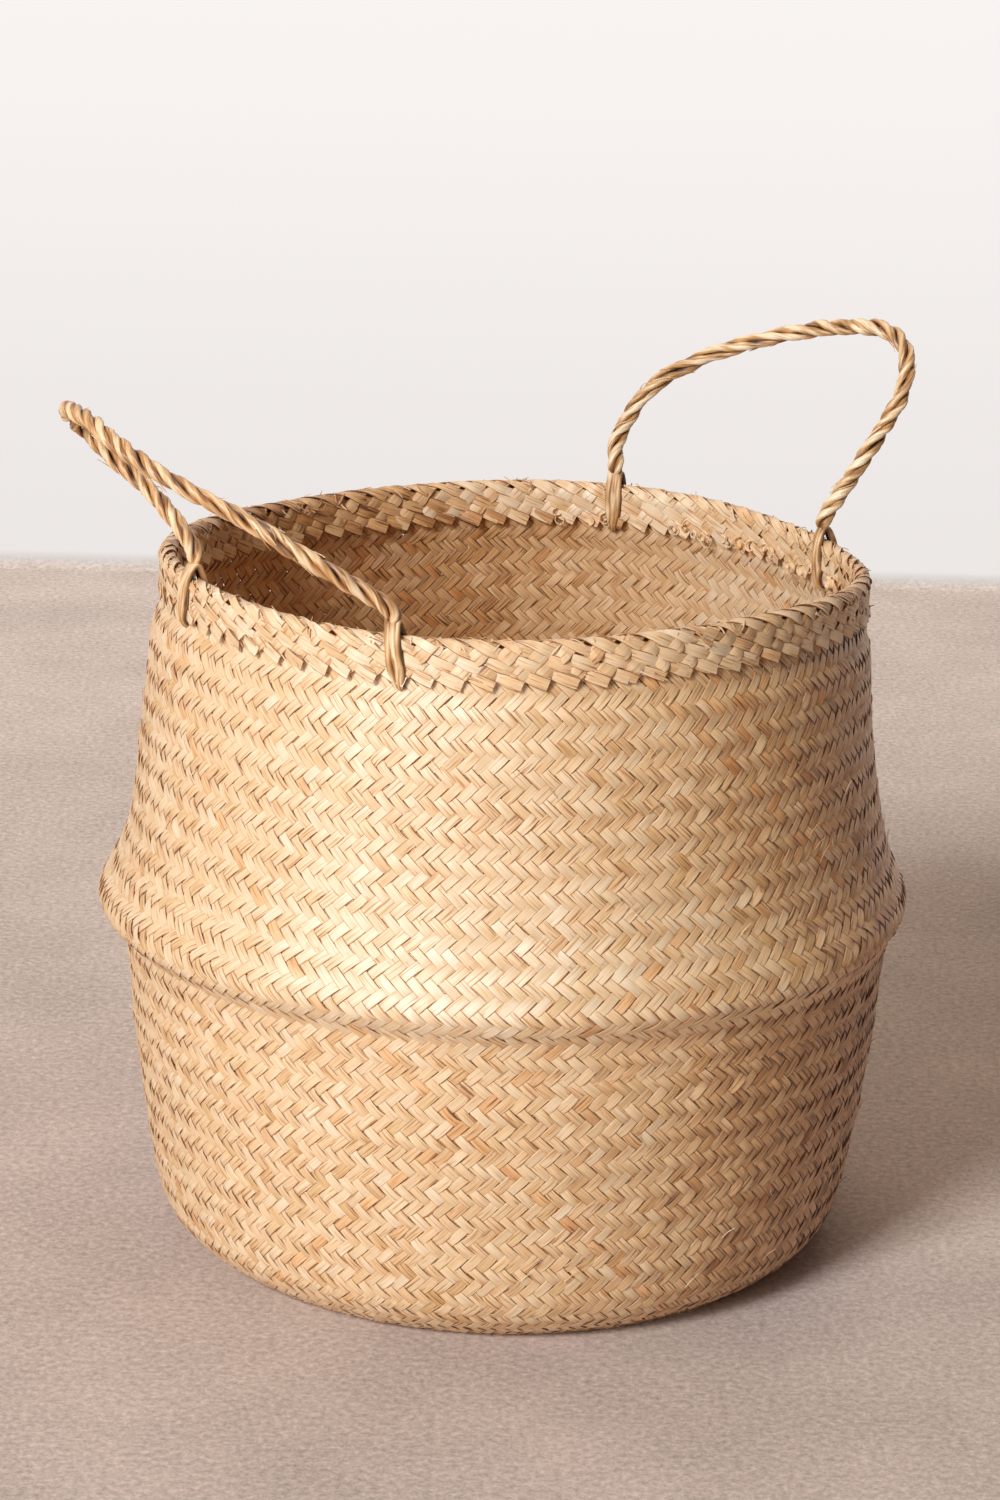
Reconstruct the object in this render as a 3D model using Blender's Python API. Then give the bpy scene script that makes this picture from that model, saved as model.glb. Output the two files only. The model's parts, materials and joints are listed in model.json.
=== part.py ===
"""A plaited seagrass belly basket with a folded rim and two rope handles, in metres, +Z up.

The origin is on the basket's axis, in the plane of its flat underside. The front is towards -Y.
"""

import math

import bmesh
import bpy
from mathutils import Matrix, Vector

# Plaited wall: each station of its outer face, as a step outward and up from the one below
WALL_THICKNESS = 0.0025
SEAM_GAP = 0.0003
FLOOR_RADIUS = 0.1470
BASE_EDGE_REACH = 0.0135
BASE_EDGE_RISE = 0.0085
KNEE_REACH = 0.0103
KNEE_RISE = 0.0135
FLANK_FOOT_REACH = 0.0066
FLANK_FOOT_RISE = 0.0340
FLANK_HEAD_REACH = 0.0074
FLANK_HEAD_RISE = 0.0540
CREASE_REACH = 0.0057
CREASE_RISE = 0.0510
BELLY_REACH = 0.0095
BELLY_RISE = 0.0150
SHOULDER_INSET = 0.0115
SHOULDER_RISE = 0.0300
UPPER_FLANK_INSET = 0.0065
UPPER_FLANK_RISE = 0.0360
NECK_INSET = 0.0052
NECK_RISE = 0.0420
COLLAR_INSET = 0.0052
COLLAR_RISE = 0.0320
RIM_FOOT_INSET = 0.0041
RIM_FOOT_RISE = 0.0095
RIM_WALL_RISE = 0.0132

KNEE_HEIGHT = BASE_EDGE_RISE + KNEE_RISE
CREASE_HEIGHT = KNEE_HEIGHT + FLANK_FOOT_RISE + FLANK_HEAD_RISE + CREASE_RISE
BELLY_HEIGHT = CREASE_HEIGHT + BELLY_RISE
COLLAR_HEIGHT = BELLY_HEIGHT + SHOULDER_RISE + UPPER_FLANK_RISE + NECK_RISE + COLLAR_RISE
RIM_WALL_FOOT = COLLAR_HEIGHT + RIM_FOOT_RISE
RIM_WALL_TOP = RIM_WALL_FOOT + RIM_WALL_RISE

# Soft belly between the two stiff halves of the wall
BELLY_BELOW_CREASE = 0.0210
BELLY_ABOVE_FOLD = 0.0240

# Folded rim
RIM_BAND_THICKNESS = 0.0012
RIM_BAND_CLEARANCE = 0.0007
LOCK_ROW_DEPTH = 0.0014
LOCK_ROW_WIDTH = 0.0050
LOCK_ROW_BELOW_TOP = 0.0092
EDGE_BRAID_WIDTH = 0.0080
EDGE_BRAID_HEIGHT = 0.0080
RIM_LIFT = 0.0025
RIM_LIFT_DIRECTION = math.radians(-100.0)
RIM_WAVE = 0.0024
RIM_WAVE_DIRECTION = math.radians(-48.0)
RIM_WAVE_COUNT = 3

# Straps that carry the handles, each a closed turn of split rope round the rim
STRAP_DIAMETER = 0.0042
STRAP_CORNER_RADIUS = 0.0042
STRAP_HOLE_CLEARANCE = 0.0007
STRAP_BELOW_BAND = 0.0019

# Rope handles
ROPE_DIAMETER = 0.0095
LEFT_HANDLE_BACK_ANGLE = math.radians(206.0)
LEFT_HANDLE_FRONT_ANGLE = math.radians(251.0)
RIGHT_HANDLE_BACK_ANGLE = math.radians(71.5)
RIGHT_HANDLE_FRONT_ANGLE = math.radians(21.5)

# Places along each handle, as shares of the distance between its feet: along, outward, up
LEFT_ROUTE_SHARES = (
    (0.00, 0.00, 0.00),
    (-0.05, 0.03, 0.10),
    (-0.21, 0.04, 0.22),
    (-0.40, 0.08, 0.33),
    (-0.47, 0.15, 0.43),
    (-0.41, 0.28, 0.52),
    (-0.16, 0.42, 0.56),
    (0.09, 0.44, 0.48),
    (0.33, 0.41, 0.40),
    (0.54, 0.33, 0.32),
    (0.72, 0.25, 0.22),
    (0.88, 0.13, 0.08),
    (1.00, 0.00, 0.00),
)
RIGHT_ROUTE_SHARES = (
    (0.00, 0.00, 0.00),
    (-0.04, 0.04, 0.08),
    (-0.02, 0.12, 0.22),
    (0.06, 0.18, 0.33),
    (0.28, 0.24, 0.46),
    (0.54, 0.30, 0.56),
    (0.80, 0.33, 0.63),
    (0.97, 0.34, 0.64),
    (1.08, 0.31, 0.58),
    (1.12, 0.25, 0.47),
    (1.09, 0.16, 0.30),
    (1.03, 0.06, 0.11),
    (1.00, 0.00, 0.00),
)

# Facets
AROUND = 60
BASE_EDGE_STEPS = 5
LOWER_WALL_STEPS = 6
BELLY_STEPS = 9
UPPER_WALL_STEPS = 8
PROFILE_DETAIL = 24
ROUND_SECTION_SIDES = 8
ROPE_SIDES = 10
ROPE_CAP_RINGS = 2
ROPE_STEPS_PER_PLACE = 2
STRAP_SIDES = 8
STRAP_CORNER_STEPS = 4
HOLE_SIDES = 16
SHARP_ANGLE = math.radians(40.0)

# Colours, sRGB shares from the straw in daylight
STRAW_COLOUR = (0.78, 0.60, 0.40)
SHADED_STRAW_COLOUR = (0.66, 0.47, 0.30)
PALE_STRAW_COLOUR = (0.84, 0.69, 0.49)
ROPE_COLOUR = (0.73, 0.53, 0.32)
STRAW_ROUGHNESS = 0.55


def clear_scene():
    for obj in list(bpy.data.objects):
        bpy.data.objects.remove(obj, do_unlink=True)


def linear(channel):
    return channel / 12.92 if channel <= 0.04045 else ((channel + 0.055) / 1.055) ** 2.4


def make_material(name, colour):
    material = bpy.data.materials.new(name)
    material.use_nodes = True
    shader = material.node_tree.nodes["Principled BSDF"]
    shader.inputs["Base Color"].default_value = (*map(linear, colour), 1)
    shader.inputs["Roughness"].default_value = STRAW_ROUGHNESS
    shader.inputs["Metallic"].default_value = 0
    material.diffuse_color = (*colour, 1)
    return material


def spline(points, steps):
    """Points of a smooth curve through the given ones, with that many steps in each gap."""
    first = points[0] * 2 - points[1]
    last = points[-1] * 2 - points[-2]
    ends = [first, *points, last]
    out = []
    for a, b, c, d in zip(ends, ends[1:], ends[2:], ends[3:]):
        t1 = math.sqrt((b - a).length)
        t2 = t1 + math.sqrt((c - b).length)
        t3 = t2 + math.sqrt((d - c).length)
        for step in range(steps):
            t = t1 + (t2 - t1) * step / steps
            ab = (a * (t1 - t) + b * t) / t1
            bc = (b * (t2 - t) + c * (t - t1)) / (t2 - t1)
            cd = (c * (t3 - t) + d * (t - t2)) / (t3 - t2)
            abc = (ab * (t2 - t) + bc * t) / t2
            bcd = (bc * (t3 - t) + cd * (t - t1)) / (t3 - t1)
            out.append((abc * (t2 - t) + bcd * (t - t1)) / (t2 - t1))
    out.append(points[-1].copy())
    return out


def wall_outline():
    """The wall's outer face from the floor to where it stands upright in the rim."""
    steps = [
        (BASE_EDGE_REACH, BASE_EDGE_RISE),
        (KNEE_REACH, KNEE_RISE),
        (FLANK_FOOT_REACH, FLANK_FOOT_RISE),
        (FLANK_HEAD_REACH, FLANK_HEAD_RISE),
        (CREASE_REACH, CREASE_RISE),
        (BELLY_REACH, BELLY_RISE),
        (-SHOULDER_INSET, SHOULDER_RISE),
        (-UPPER_FLANK_INSET, UPPER_FLANK_RISE),
        (-NECK_INSET, NECK_RISE),
        (-COLLAR_INSET, COLLAR_RISE),
        (-RIM_FOOT_INSET, RIM_FOOT_RISE),
    ]
    stations = [Vector((FLOOR_RADIUS, 0))]
    for step in steps:
        stations.append(stations[-1] + Vector(step))
    return spline(stations, PROFILE_DETAIL)


def lengths_along(points):
    lengths = [0.0]
    for a, b in zip(points, points[1:]):
        lengths.append(lengths[-1] + (b - a).length)
    return lengths


def length_at_height(points, height):
    """Length along the outline where it first passes this height."""
    lengths = lengths_along(points)
    for i, (a, b) in enumerate(zip(points, points[1:])):
        if a.y <= height < b.y:
            share = (height - a.y) / (b.y - a.y)
            return lengths[i] + share * (lengths[i + 1] - lengths[i])
    return lengths[-1]


def at_length(points, length):
    """(point, inward normal) of the outline at a length along it."""
    lengths = lengths_along(points)
    last = len(points) - 2
    i = next((i for i in range(last) if lengths[i + 1] >= length), last)
    along = points[i + 1] - points[i]
    point = points[i] + along * (length - lengths[i]) / (lengths[i + 1] - lengths[i])
    before = points[max(i - 1, 0)]
    after = points[min(i + 2, len(points) - 1)]
    tangent = (after - before).normalized()
    return point, Vector((-tangent.y, tangent.x))


def wall_section(start, end, steps, on_floor=False, in_rim=False):
    """Closed (radius, height) section of a stretch of the wall, outer face first."""
    outline = wall_outline()
    outer = []
    inner = []
    for step in range(steps + 1):
        point, inward = at_length(outline, start + (end - start) * step / steps)
        if on_floor and step == 0:
            inward = Vector((0, 1))
        if in_rim and step == steps:
            inward = Vector((-1, 0))
        outer.append(point)
        inner.append(point + inward * WALL_THICKNESS)
    if in_rim:
        outer.append(Vector((outer[-1].x, RIM_WALL_TOP)))
        inner.append(Vector((inner[-1].x, RIM_WALL_TOP)))
    return outer + inner[::-1]


def box_section(radius_in, radius_out, low, high):
    corners = [(radius_out, low), (radius_out, high), (radius_in, high), (radius_in, low)]
    return [Vector(corner) for corner in corners]


def round_section(radius, height, width, depth):
    """An oval section whose flats stand at its full width across the rim and depth up it."""
    reach = 1 / math.cos(math.pi / ROUND_SECTION_SIDES)
    section = []
    for side in range(ROUND_SECTION_SIDES):
        turn = math.tau * (side + 0.5) / ROUND_SECTION_SIDES
        across = reach * width / 2 * math.cos(turn)
        section.append(Vector((radius + across, height + reach * depth / 2 * math.sin(turn))))
    return section


def rim_rise(angle):
    """How far the rim stands above its level ring at this angle."""
    lift = RIM_LIFT * math.cos(angle - RIM_LIFT_DIRECTION)
    return lift + RIM_WAVE * math.cos(RIM_WAVE_COUNT * (angle - RIM_WAVE_DIRECTION))


def on_basket(radius, angle, height):
    """A point of the basket, with the rim's rise fading out down to the belly."""
    share = (height - BELLY_HEIGHT) / (COLLAR_HEIGHT - BELLY_HEIGHT)
    share = min(max(share, 0), 1)
    share = share * share * (3 - 2 * share)
    rise = share * rim_rise(angle)
    return Vector((radius * math.cos(angle), radius * math.sin(angle), height + rise))


def finish_mesh(bm, name, material):
    bmesh.ops.recalc_face_normals(bm, faces=bm.faces)
    mesh = bpy.data.meshes.new(name)
    bm.to_mesh(mesh)
    bm.free()
    mesh.materials.append(material)
    mesh.shade_smooth()
    mesh.set_sharp_from_angle(angle=SHARP_ANGLE)
    return mesh


def add_object(name, data, parent=None, matrix=None):
    """An object placed by a world matrix, also under a parent."""
    obj = bpy.data.objects.new(name, data)
    bpy.context.scene.collection.objects.link(obj)
    if parent is not None:
        obj.parent = parent
        obj.matrix_parent_inverse = parent.matrix_basis.inverted()
    if matrix is not None:
        obj.matrix_basis = matrix
    return obj


def add_frame(name, matrix, parent=None):
    """An empty that marks a joint."""
    frame = add_object(name, None, parent, matrix)
    frame.empty_display_size = ROPE_DIAMETER
    return frame


def turned_ring(name, section, material, parent=None):
    """A closed ring of this (radius, height) section round the basket."""
    bm = bmesh.new()
    angles = [math.tau * i / AROUND for i in range(AROUND)]
    rings = [[bm.verts.new(on_basket(p.x, angle, p.y)) for p in section] for angle in angles]
    for ring, following in zip(rings, rings[1:] + rings[:1]):
        for i in range(len(section)):
            j = (i + 1) % len(section)
            bm.faces.new((ring[i], following[i], following[j], ring[j]))
    return add_object(name, finish_mesh(bm, name, material), parent)


def carried_frames(route, closed):
    """(point, tangent, across) at each point of the route, turning as little as it can."""
    count = len(route)
    tangents = []
    for i in range(count):
        before = route[i - 1] if closed or i else route[0]
        after = route[(i + 1) % count] if closed or i < count - 1 else route[-1]
        tangents.append((after - before).normalized())
    across = tangents[0].orthogonal()
    frames = []
    for point, tangent in zip(route, tangents):
        across = (across - tangent * across.dot(tangent)).normalized()
        frames.append((point, tangent, across))
    return frames


def rings_along(frames, radius, rounded):
    """(centre, tangent, across, radius) of each ring, with those of the round ends."""
    rings = [(*frame, radius) for frame in frames]
    if rounded:
        steps = [math.pi / 2 * ring / (ROPE_CAP_RINGS + 1) for ring in range(1, ROPE_CAP_RINGS + 1)]
        for angle in steps:
            shift = radius * math.sin(angle)
            size = radius * math.cos(angle)
            point, tangent, across = frames[0]
            rings.insert(0, (point - tangent * shift, tangent, across, size))
            point, tangent, across = frames[-1]
            rings.append((point + tangent * shift, tangent, across, size))
    return rings


def tube_mesh(name, route, radius, sides, material, closed):
    """A tube along the route. An open one has round ends, centred on the route's end points."""
    bm = bmesh.new()
    frames = carried_frames(route, closed)
    turns = [math.tau * k / sides for k in range(sides)]
    loops = []
    for point, tangent, across, size in rings_along(frames, radius, not closed):
        other = tangent.cross(across)
        places = [point + (across * math.cos(t) + other * math.sin(t)) * size for t in turns]
        loops.append([bm.verts.new(place) for place in places])
    following = loops[1:] + loops[:1] if closed else loops[1:]
    for ring, ahead in zip(loops, following):
        for i in range(sides):
            j = (i + 1) % sides
            bm.faces.new((ring[i], ring[j], ahead[j], ahead[i]))
    if not closed:
        for ring, frame, sign in ((loops[0], frames[0], -1), (loops[-1], frames[-1], 1)):
            tip = bm.verts.new(frame[0] + frame[1] * radius * sign)
            for i in range(sides):
                bm.faces.new((ring[i], ring[(i + 1) % sides], tip))
    return finish_mesh(bm, name, material)


def floor_disc(name, material):
    """The flat of the base, a gap short of the edge that turns up from it."""
    bm = bmesh.new()
    radius = FLOOR_RADIUS - SEAM_GAP
    bmesh.ops.create_circle(bm, cap_ends=True, segments=AROUND, radius=radius)
    side = bmesh.ops.extrude_face_region(bm, geom=bm.faces[:])
    raised = [item for item in side["geom"] if isinstance(item, bmesh.types.BMVert)]
    bmesh.ops.translate(bm, verts=raised, vec=(0, 0, WALL_THICKNESS))
    return finish_mesh(bm, name, material)


def plaited_body(upper_frame):
    """The base and its edge, the wall's two stiff halves and the soft belly between them."""
    straw = make_material("seagrass_plait", STRAW_COLOUR)
    shaded = make_material("seagrass_plait_base", SHADED_STRAW_COLOUR)
    belly = make_material("seagrass_plait_belly", PALE_STRAW_COLOUR)
    outline = wall_outline()
    knee = length_at_height(outline, KNEE_HEIGHT)
    foot = length_at_height(outline, CREASE_HEIGHT - BELLY_BELOW_CREASE)
    head = length_at_height(outline, BELLY_HEIGHT + BELLY_ABOVE_FOLD)
    top = lengths_along(outline)[-1]

    add_object("base_mat", floor_disc("base_mat", shaded))
    edge = wall_section(0, knee, BASE_EDGE_STEPS, on_floor=True)
    turned_ring("base_edge", edge, shaded)
    lower = wall_section(knee + SEAM_GAP, foot, LOWER_WALL_STEPS)
    turned_ring("lower_wall", lower, straw)
    band = wall_section(foot + SEAM_GAP, head - SEAM_GAP, BELLY_STEPS)
    turned_ring("belly_band", band, belly, upper_frame)
    upper = wall_section(head, top, UPPER_WALL_STEPS, in_rim=True)
    return turned_ring("upper_wall", upper, straw, upper_frame)


def rim_centre():
    """Radius of the middle of the upright wall in the rim."""
    return wall_outline()[-1].x - WALL_THICKNESS / 2


def rim_half_thickness():
    """From the middle of the wall to the face of a rim band."""
    return WALL_THICKNESS / 2 + SEAM_GAP + RIM_BAND_THICKNESS


def rim_band_foot():
    return RIM_WALL_FOOT + RIM_BAND_CLEARANCE


def edge_braid_height():
    return RIM_WALL_TOP + SEAM_GAP + EDGE_BRAID_HEIGHT / 2


def folded_rim(upper_frame):
    """The wall's straws turned over at the edge, locked by a twined row on each side."""
    band = make_material("seagrass_rim_band", STRAW_COLOUR)
    braid = make_material("seagrass_edge_braid", PALE_STRAW_COLOUR)
    lock = make_material("seagrass_lock_row", ROPE_COLOUR)
    middle = rim_centre()
    half = rim_half_thickness()
    lock_half = half + SEAM_GAP + LOCK_ROW_DEPTH / 2
    lock_height = RIM_WALL_TOP - LOCK_ROW_BELOW_TOP
    for name, lock_name, side in (
        ("rim_band_outer", "lock_row_outer", 1),
        ("rim_band_inner", "lock_row_inner", -1),
    ):
        faces = sorted((middle + side * half, middle + side * (half - RIM_BAND_THICKNESS)))
        section = box_section(*faces, rim_band_foot(), RIM_WALL_TOP)
        turned_ring(name, section, band, upper_frame)
        radius = middle + side * lock_half
        section = round_section(radius, lock_height, LOCK_ROW_DEPTH, LOCK_ROW_WIDTH)
        turned_ring(lock_name, section, lock, upper_frame)
    section = round_section(middle, edge_braid_height(), EDGE_BRAID_WIDTH, EDGE_BRAID_HEIGHT)
    turned_ring("rim_edge_braid", section, braid, upper_frame)


def strap_height():
    """Height of the strap's centreline where it passes over the rim."""
    braid_top = edge_braid_height() + EDGE_BRAID_HEIGHT / 2
    return braid_top + SEAM_GAP + STRAP_DIAMETER / 2


def strap_hole_height():
    return rim_band_foot() - STRAP_BELOW_BAND - STRAP_DIAMETER / 2


def strap_half_width():
    """From the middle of the rim to the strap's centreline, outside the lock rows."""
    lock_face = rim_half_thickness() + SEAM_GAP + LOCK_ROW_DEPTH
    return lock_face + SEAM_GAP + STRAP_DIAMETER / 2


def strap_route():
    """A rounded upright loop in the XZ plane, its bottom run at z = 0 and its middle at x = 0."""
    reach = STRAP_CORNER_RADIUS
    half = strap_half_width() - reach
    top = strap_height() - strap_hole_height() - reach
    corners = (Vector((half, 0, top)), Vector((-half, 0, top)))
    corners += (Vector((-half, 0, reach)), Vector((half, 0, reach)))
    route = []
    for quarter, corner in enumerate(corners):
        for step in range(STRAP_CORNER_STEPS + 1):
            turn = math.pi / 2 * (quarter + step / STRAP_CORNER_STEPS)
            route.append(corner + Vector((math.cos(turn), 0, math.sin(turn))) * reach)
    return route


def place_at_rim(angle, height):
    """A frame on the rim's centre line at this angle, with its X outward and its Z up."""
    place = on_basket(rim_centre(), angle, height)
    return Matrix.Translation(place) @ Matrix.Rotation(angle, 4, "Z")


def straps(upper_wall, upper_frame):
    """Four straps, each through its own hole in the wall under the lock rows."""
    material = make_material("seagrass_strap", ROPE_COLOUR)
    mesh = tube_mesh(
        "strap", strap_route(), STRAP_DIAMETER / 2, STRAP_SIDES, material, closed=True
    )
    feet = (
        ("strap_left_back", LEFT_HANDLE_BACK_ANGLE),
        ("strap_left_front", LEFT_HANDLE_FRONT_ANGLE),
        ("strap_right_back", RIGHT_HANDLE_BACK_ANGLE),
        ("strap_right_front", RIGHT_HANDLE_FRONT_ANGLE),
    )
    for name, angle in feet:
        frame = place_at_rim(angle, strap_hole_height())
        add_object(name, mesh, upper_frame, frame)
        cut_hole(upper_wall, f"{name}_hole", frame)


def cut_hole(wall, name, frame):
    """A round hole straight through the wall, along the frame's X."""
    radius = STRAP_DIAMETER / 2 + STRAP_HOLE_CLEARANCE
    bm = bmesh.new()
    bmesh.ops.create_cone(
        bm,
        cap_ends=True,
        segments=HOLE_SIDES,
        radius1=radius,
        radius2=radius,
        depth=strap_half_width() * 2,
        matrix=Matrix.Rotation(math.pi / 2, 4, "Y"),
    )
    cutter = add_object(name, finish_mesh(bm, name, wall.data.materials[0]), None, frame)
    cutter.hide_render = True
    cutter.display_type = "WIRE"
    boolean = wall.modifiers.new(name, "BOOLEAN")
    boolean.operation = "DIFFERENCE"
    boolean.object = cutter
    boolean.solver = "EXACT"


def hinge_height():
    """Height of a rope end's centre, which rests on its strap."""
    return strap_height() + STRAP_DIAMETER / 2 + SEAM_GAP + ROPE_DIAMETER / 2


def rope_handle(name, back_angle, front_angle, shares, material, upper_frame):
    """A rope arch that swings about the line through its two round ends."""
    back = on_basket(rim_centre(), back_angle, hinge_height())
    front = on_basket(rim_centre(), front_angle, hinge_height())
    span = (front - back).length
    along = (front - back).normalized()
    outward = Vector((back.x + front.x, back.y + front.y, 0))
    outward = (outward - along * outward.dot(along)).normalized()
    up = along.cross(outward)
    up *= math.copysign(1, up.z)
    side = outward.cross(up)
    turn = Matrix((side, outward, up)).transposed().to_4x4()
    frame = add_frame(f"{name}_hinge", Matrix.Translation(back) @ turn, upper_frame)
    facing = math.copysign(1, side.dot(along))
    places = [Vector((facing * a, b, c)) * span for a, b, c in shares]
    route = spline(places, ROPE_STEPS_PER_PLACE)
    mesh = tube_mesh(f"{name}_rope", route, ROPE_DIAMETER / 2, ROPE_SIDES, material, closed=False)
    add_object(f"{name}_rope", mesh).parent = frame
    print(name, "rope length", round(lengths_along(route)[-1], 4))
    print(name, "hinge through", tuple(back), "along", tuple(side))


def main():
    clear_scene()
    upper_frame = add_frame("belly_fold", Matrix.Translation((0, 0, BELLY_HEIGHT)))
    upper_wall = plaited_body(upper_frame)
    folded_rim(upper_frame)
    straps(upper_wall, upper_frame)
    rope = make_material("seagrass_rope", ROPE_COLOUR)
    rope_handle(
        "handle_left",
        LEFT_HANDLE_BACK_ANGLE,
        LEFT_HANDLE_FRONT_ANGLE,
        LEFT_ROUTE_SHARES,
        rope,
        upper_frame,
    )
    rope_handle(
        "handle_right",
        RIGHT_HANDLE_BACK_ANGLE,
        RIGHT_HANDLE_FRONT_ANGLE,
        RIGHT_ROUTE_SHARES,
        rope,
        upper_frame,
    )


main()
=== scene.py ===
"""Looks of a plaited seagrass belly basket, laid out as an add-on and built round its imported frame.

Every straw is its own strip: flat, slightly crowned, over two of its neighbours and under two.
"""

import json
import math

import bmesh
import bpy
import numpy as np
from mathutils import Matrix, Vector
from mathutils.bvhtree import BVHTree


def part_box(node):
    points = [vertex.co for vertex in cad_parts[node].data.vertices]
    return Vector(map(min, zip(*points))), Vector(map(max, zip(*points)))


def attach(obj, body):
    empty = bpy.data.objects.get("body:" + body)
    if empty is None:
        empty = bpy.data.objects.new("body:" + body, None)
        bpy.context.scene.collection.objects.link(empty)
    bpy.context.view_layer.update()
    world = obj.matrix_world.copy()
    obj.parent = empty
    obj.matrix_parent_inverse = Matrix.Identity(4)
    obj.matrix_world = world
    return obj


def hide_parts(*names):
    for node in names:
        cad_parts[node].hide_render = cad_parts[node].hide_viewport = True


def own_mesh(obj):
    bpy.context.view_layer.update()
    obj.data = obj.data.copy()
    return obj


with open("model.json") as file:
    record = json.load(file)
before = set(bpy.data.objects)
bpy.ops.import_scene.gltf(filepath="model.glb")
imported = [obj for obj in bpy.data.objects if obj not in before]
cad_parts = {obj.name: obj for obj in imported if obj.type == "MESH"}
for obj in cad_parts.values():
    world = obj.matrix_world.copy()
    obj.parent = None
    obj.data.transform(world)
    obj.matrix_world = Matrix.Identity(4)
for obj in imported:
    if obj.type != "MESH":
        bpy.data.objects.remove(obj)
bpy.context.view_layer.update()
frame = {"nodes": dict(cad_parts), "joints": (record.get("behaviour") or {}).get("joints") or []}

bl_info = {
    "name": "Belly basket",
    "version": (1, 0, 0),
    "blender": (4, 5, 0),
    "location": "3D View > Sidebar > Basket",
    "description": "Plaits a seagrass belly basket with a folded rim and rope handles",
    "category": "Add Mesh",
}

MM = 0.001

# How the frame's solids are read
WALL_NODES = ("base_edge", "lower_wall", "belly_band", "upper_wall")
WALL_SOLIDS_AROUND = 60
WALL_RAYS = 420
WALL_STEP = 1.0 * MM
WALL_SMOOTHING = 2.6 * MM
SIGHT_HEIGHT = 120.0 * MM
SIGHT_LOWEST = math.radians(-39.4)
SIGHT_HIGHEST = math.radians(52.9)

# Plait
FIRST_ROW_RISE = 1.25 * MM
LOWEST_MIDDLE = 1.6 * MM
BASE_EDGE_ROWS = (-0.5, 9.0)
LOWER_WALL_ROWS = (9.0, 44.0)
BELLY_ROWS = (44.0, 62.0)
UPPER_WALL_ROWS = (62.0, 100.5)
FLOATS = 60
# Painted light and shade: how much paler or darker the straw's tone is painted, paler where the key lamp falls and
# darker where the wall lies in shade: degrees round, then lower wall, belly and upper wall
PAINTED_LIGHT_ROUND = np.array(
    (
        (-180, 0.12, 0.12, 0.12),
        (-150, 0.17, 0.17, 0.2),
        (-130, 0.18, 0.2, 0.2),
        (-115, 0.2, 0.3, 0.25),
        (-90, 0.15, 0.29, 0.17),
        (-68, 0.08, 0.19, 0.1),
        (-41, -0.15, 0.03, -0.04),
        (-18, -0.27, -0.18, -0.17),
        (0, -0.1, 0.0, 0.02),
        (20, 0.2, 0.2, 0.34),
        (60, 0.14, 0.14, 0.14),
        (95, -0.1, -0.1, -0.1),
        (140, -0.06, -0.06, -0.06),
        (180, 0.12, 0.12, 0.12),
    )
)
# Painted light and shade on the rim: how much paler or darker its straws are painted at each degree round, paler where
# the key lamp falls and darker where the rim's inside lies in shade
RIM_PAINTED_LIGHT_ROUND = ((-180, 0.04), (-140, 0.2), (-104, 0.18), (-82, 0.06), (0, 0), (25, 0.16), (60, 0.2), (95, 0.24), (102, 0.16), (109, -0.06), (130, -0.2), (165, -0.1), (180, 0.04))
CROSSING = 0.5

# Rim
RIM_STRAWS = 80
RIM_ROWS = 10
RIM_FOOT_DROP = 14.5 * MM
RIM_HALF = 3.1 * MM
RIM_REACH = 167.0 * MM
RIM_OVER = (1, 0, 1, 0, 1, 1, 1, 0, 1, 0, 1)
FLAT_LEAN_SHARE = -0.72
STEEP_LEAN_SHARE = 0.28

# A straw's section, as shares of its width and its thickness
STRAW_ACROSS = np.array((-0.5, -0.43, 0.43, 0.5, 0.43, -0.43))
STRAW_UP = np.array((0.0, 0.5, 0.5, 0.0, -0.5, -0.5))
# Painted shade: tone added at each point of the section, dark at the straw's two edges, where the gaps between straws
# lie in shade
STRAW_EDGE_PAINTED_SHADE = np.array((-0.72, 0.0, 0.0, -0.72, 0.0, 0.0))
# A quarter of the painted edge shade, for thin fibres and curls
FIBRE_EDGE_PAINTED_SHADE = STRAW_EDGE_PAINTED_SHADE / 4


def linear(hex_colour):
    """An sRGB hex colour as linear RGBA."""
    channels = [int(hex_colour[i : i + 2], 16) / 255 for i in (1, 3, 5)]
    rgb = [c / 12.92 if c <= 0.04045 else ((c + 0.055) / 1.055) ** 2.4 for c in channels]
    return (*rgb, 1.0)


def clean(vectors):
    """The vectors at length one."""
    return vectors / np.linalg.norm(vectors, axis=-1, keepdims=True)


def smoothstep(value, low, high):
    share = np.clip((value - low) / (high - low), 0, 1)
    return share * share * (3 - 2 * share)


def soft_noise(length, knots, seed):
    """Smooth random values from -1 to 1, one for each of so many samples."""
    picked = np.random.default_rng(seed).uniform(-1, 1, knots + 3)
    where = np.linspace(0, knots, length)
    index = where.astype(int)
    share = where - index
    share = share * share * (3 - 2 * share)
    return picked[index] * (1 - share) + picked[index + 1] * share


# Surfaces read from the frame


def solid_tree(names):
    """A search tree of some nodes' faces."""
    points, faces = [], []
    for name in names:
        mesh = frame["nodes"][name].data
        first = len(points)
        points += [v.co.copy() for v in mesh.vertices]
        faces += [[first + i for i in p.vertices] for p in mesh.polygons]
    return BVHTree.FromPolygons(points, faces)


def wall_middle(tree, azimuth):
    """(radius, height) points up the middle of the wall at one azimuth."""
    eye = Vector((0, 0, SIGHT_HEIGHT))
    side = Vector((math.cos(azimuth), math.sin(azimuth), 0))
    points = []
    for angle in np.linspace(SIGHT_LOWEST, SIGHT_HIGHEST, WALL_RAYS):
        ray = side * math.cos(angle) + Vector((0, 0, math.sin(angle)))
        inner, _, _, near = tree.ray_cast(eye, ray)
        if inner is None:
            continue
        outer, _, _, through = tree.ray_cast(inner + ray * 0.1 * MM, ray)
        if outer is None or through > 12 * MM:
            continue
        middle = (inner + outer) / 2
        points.append((middle.x * side.x + middle.y * side.y, middle.z))
    return np.array(points)


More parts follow.
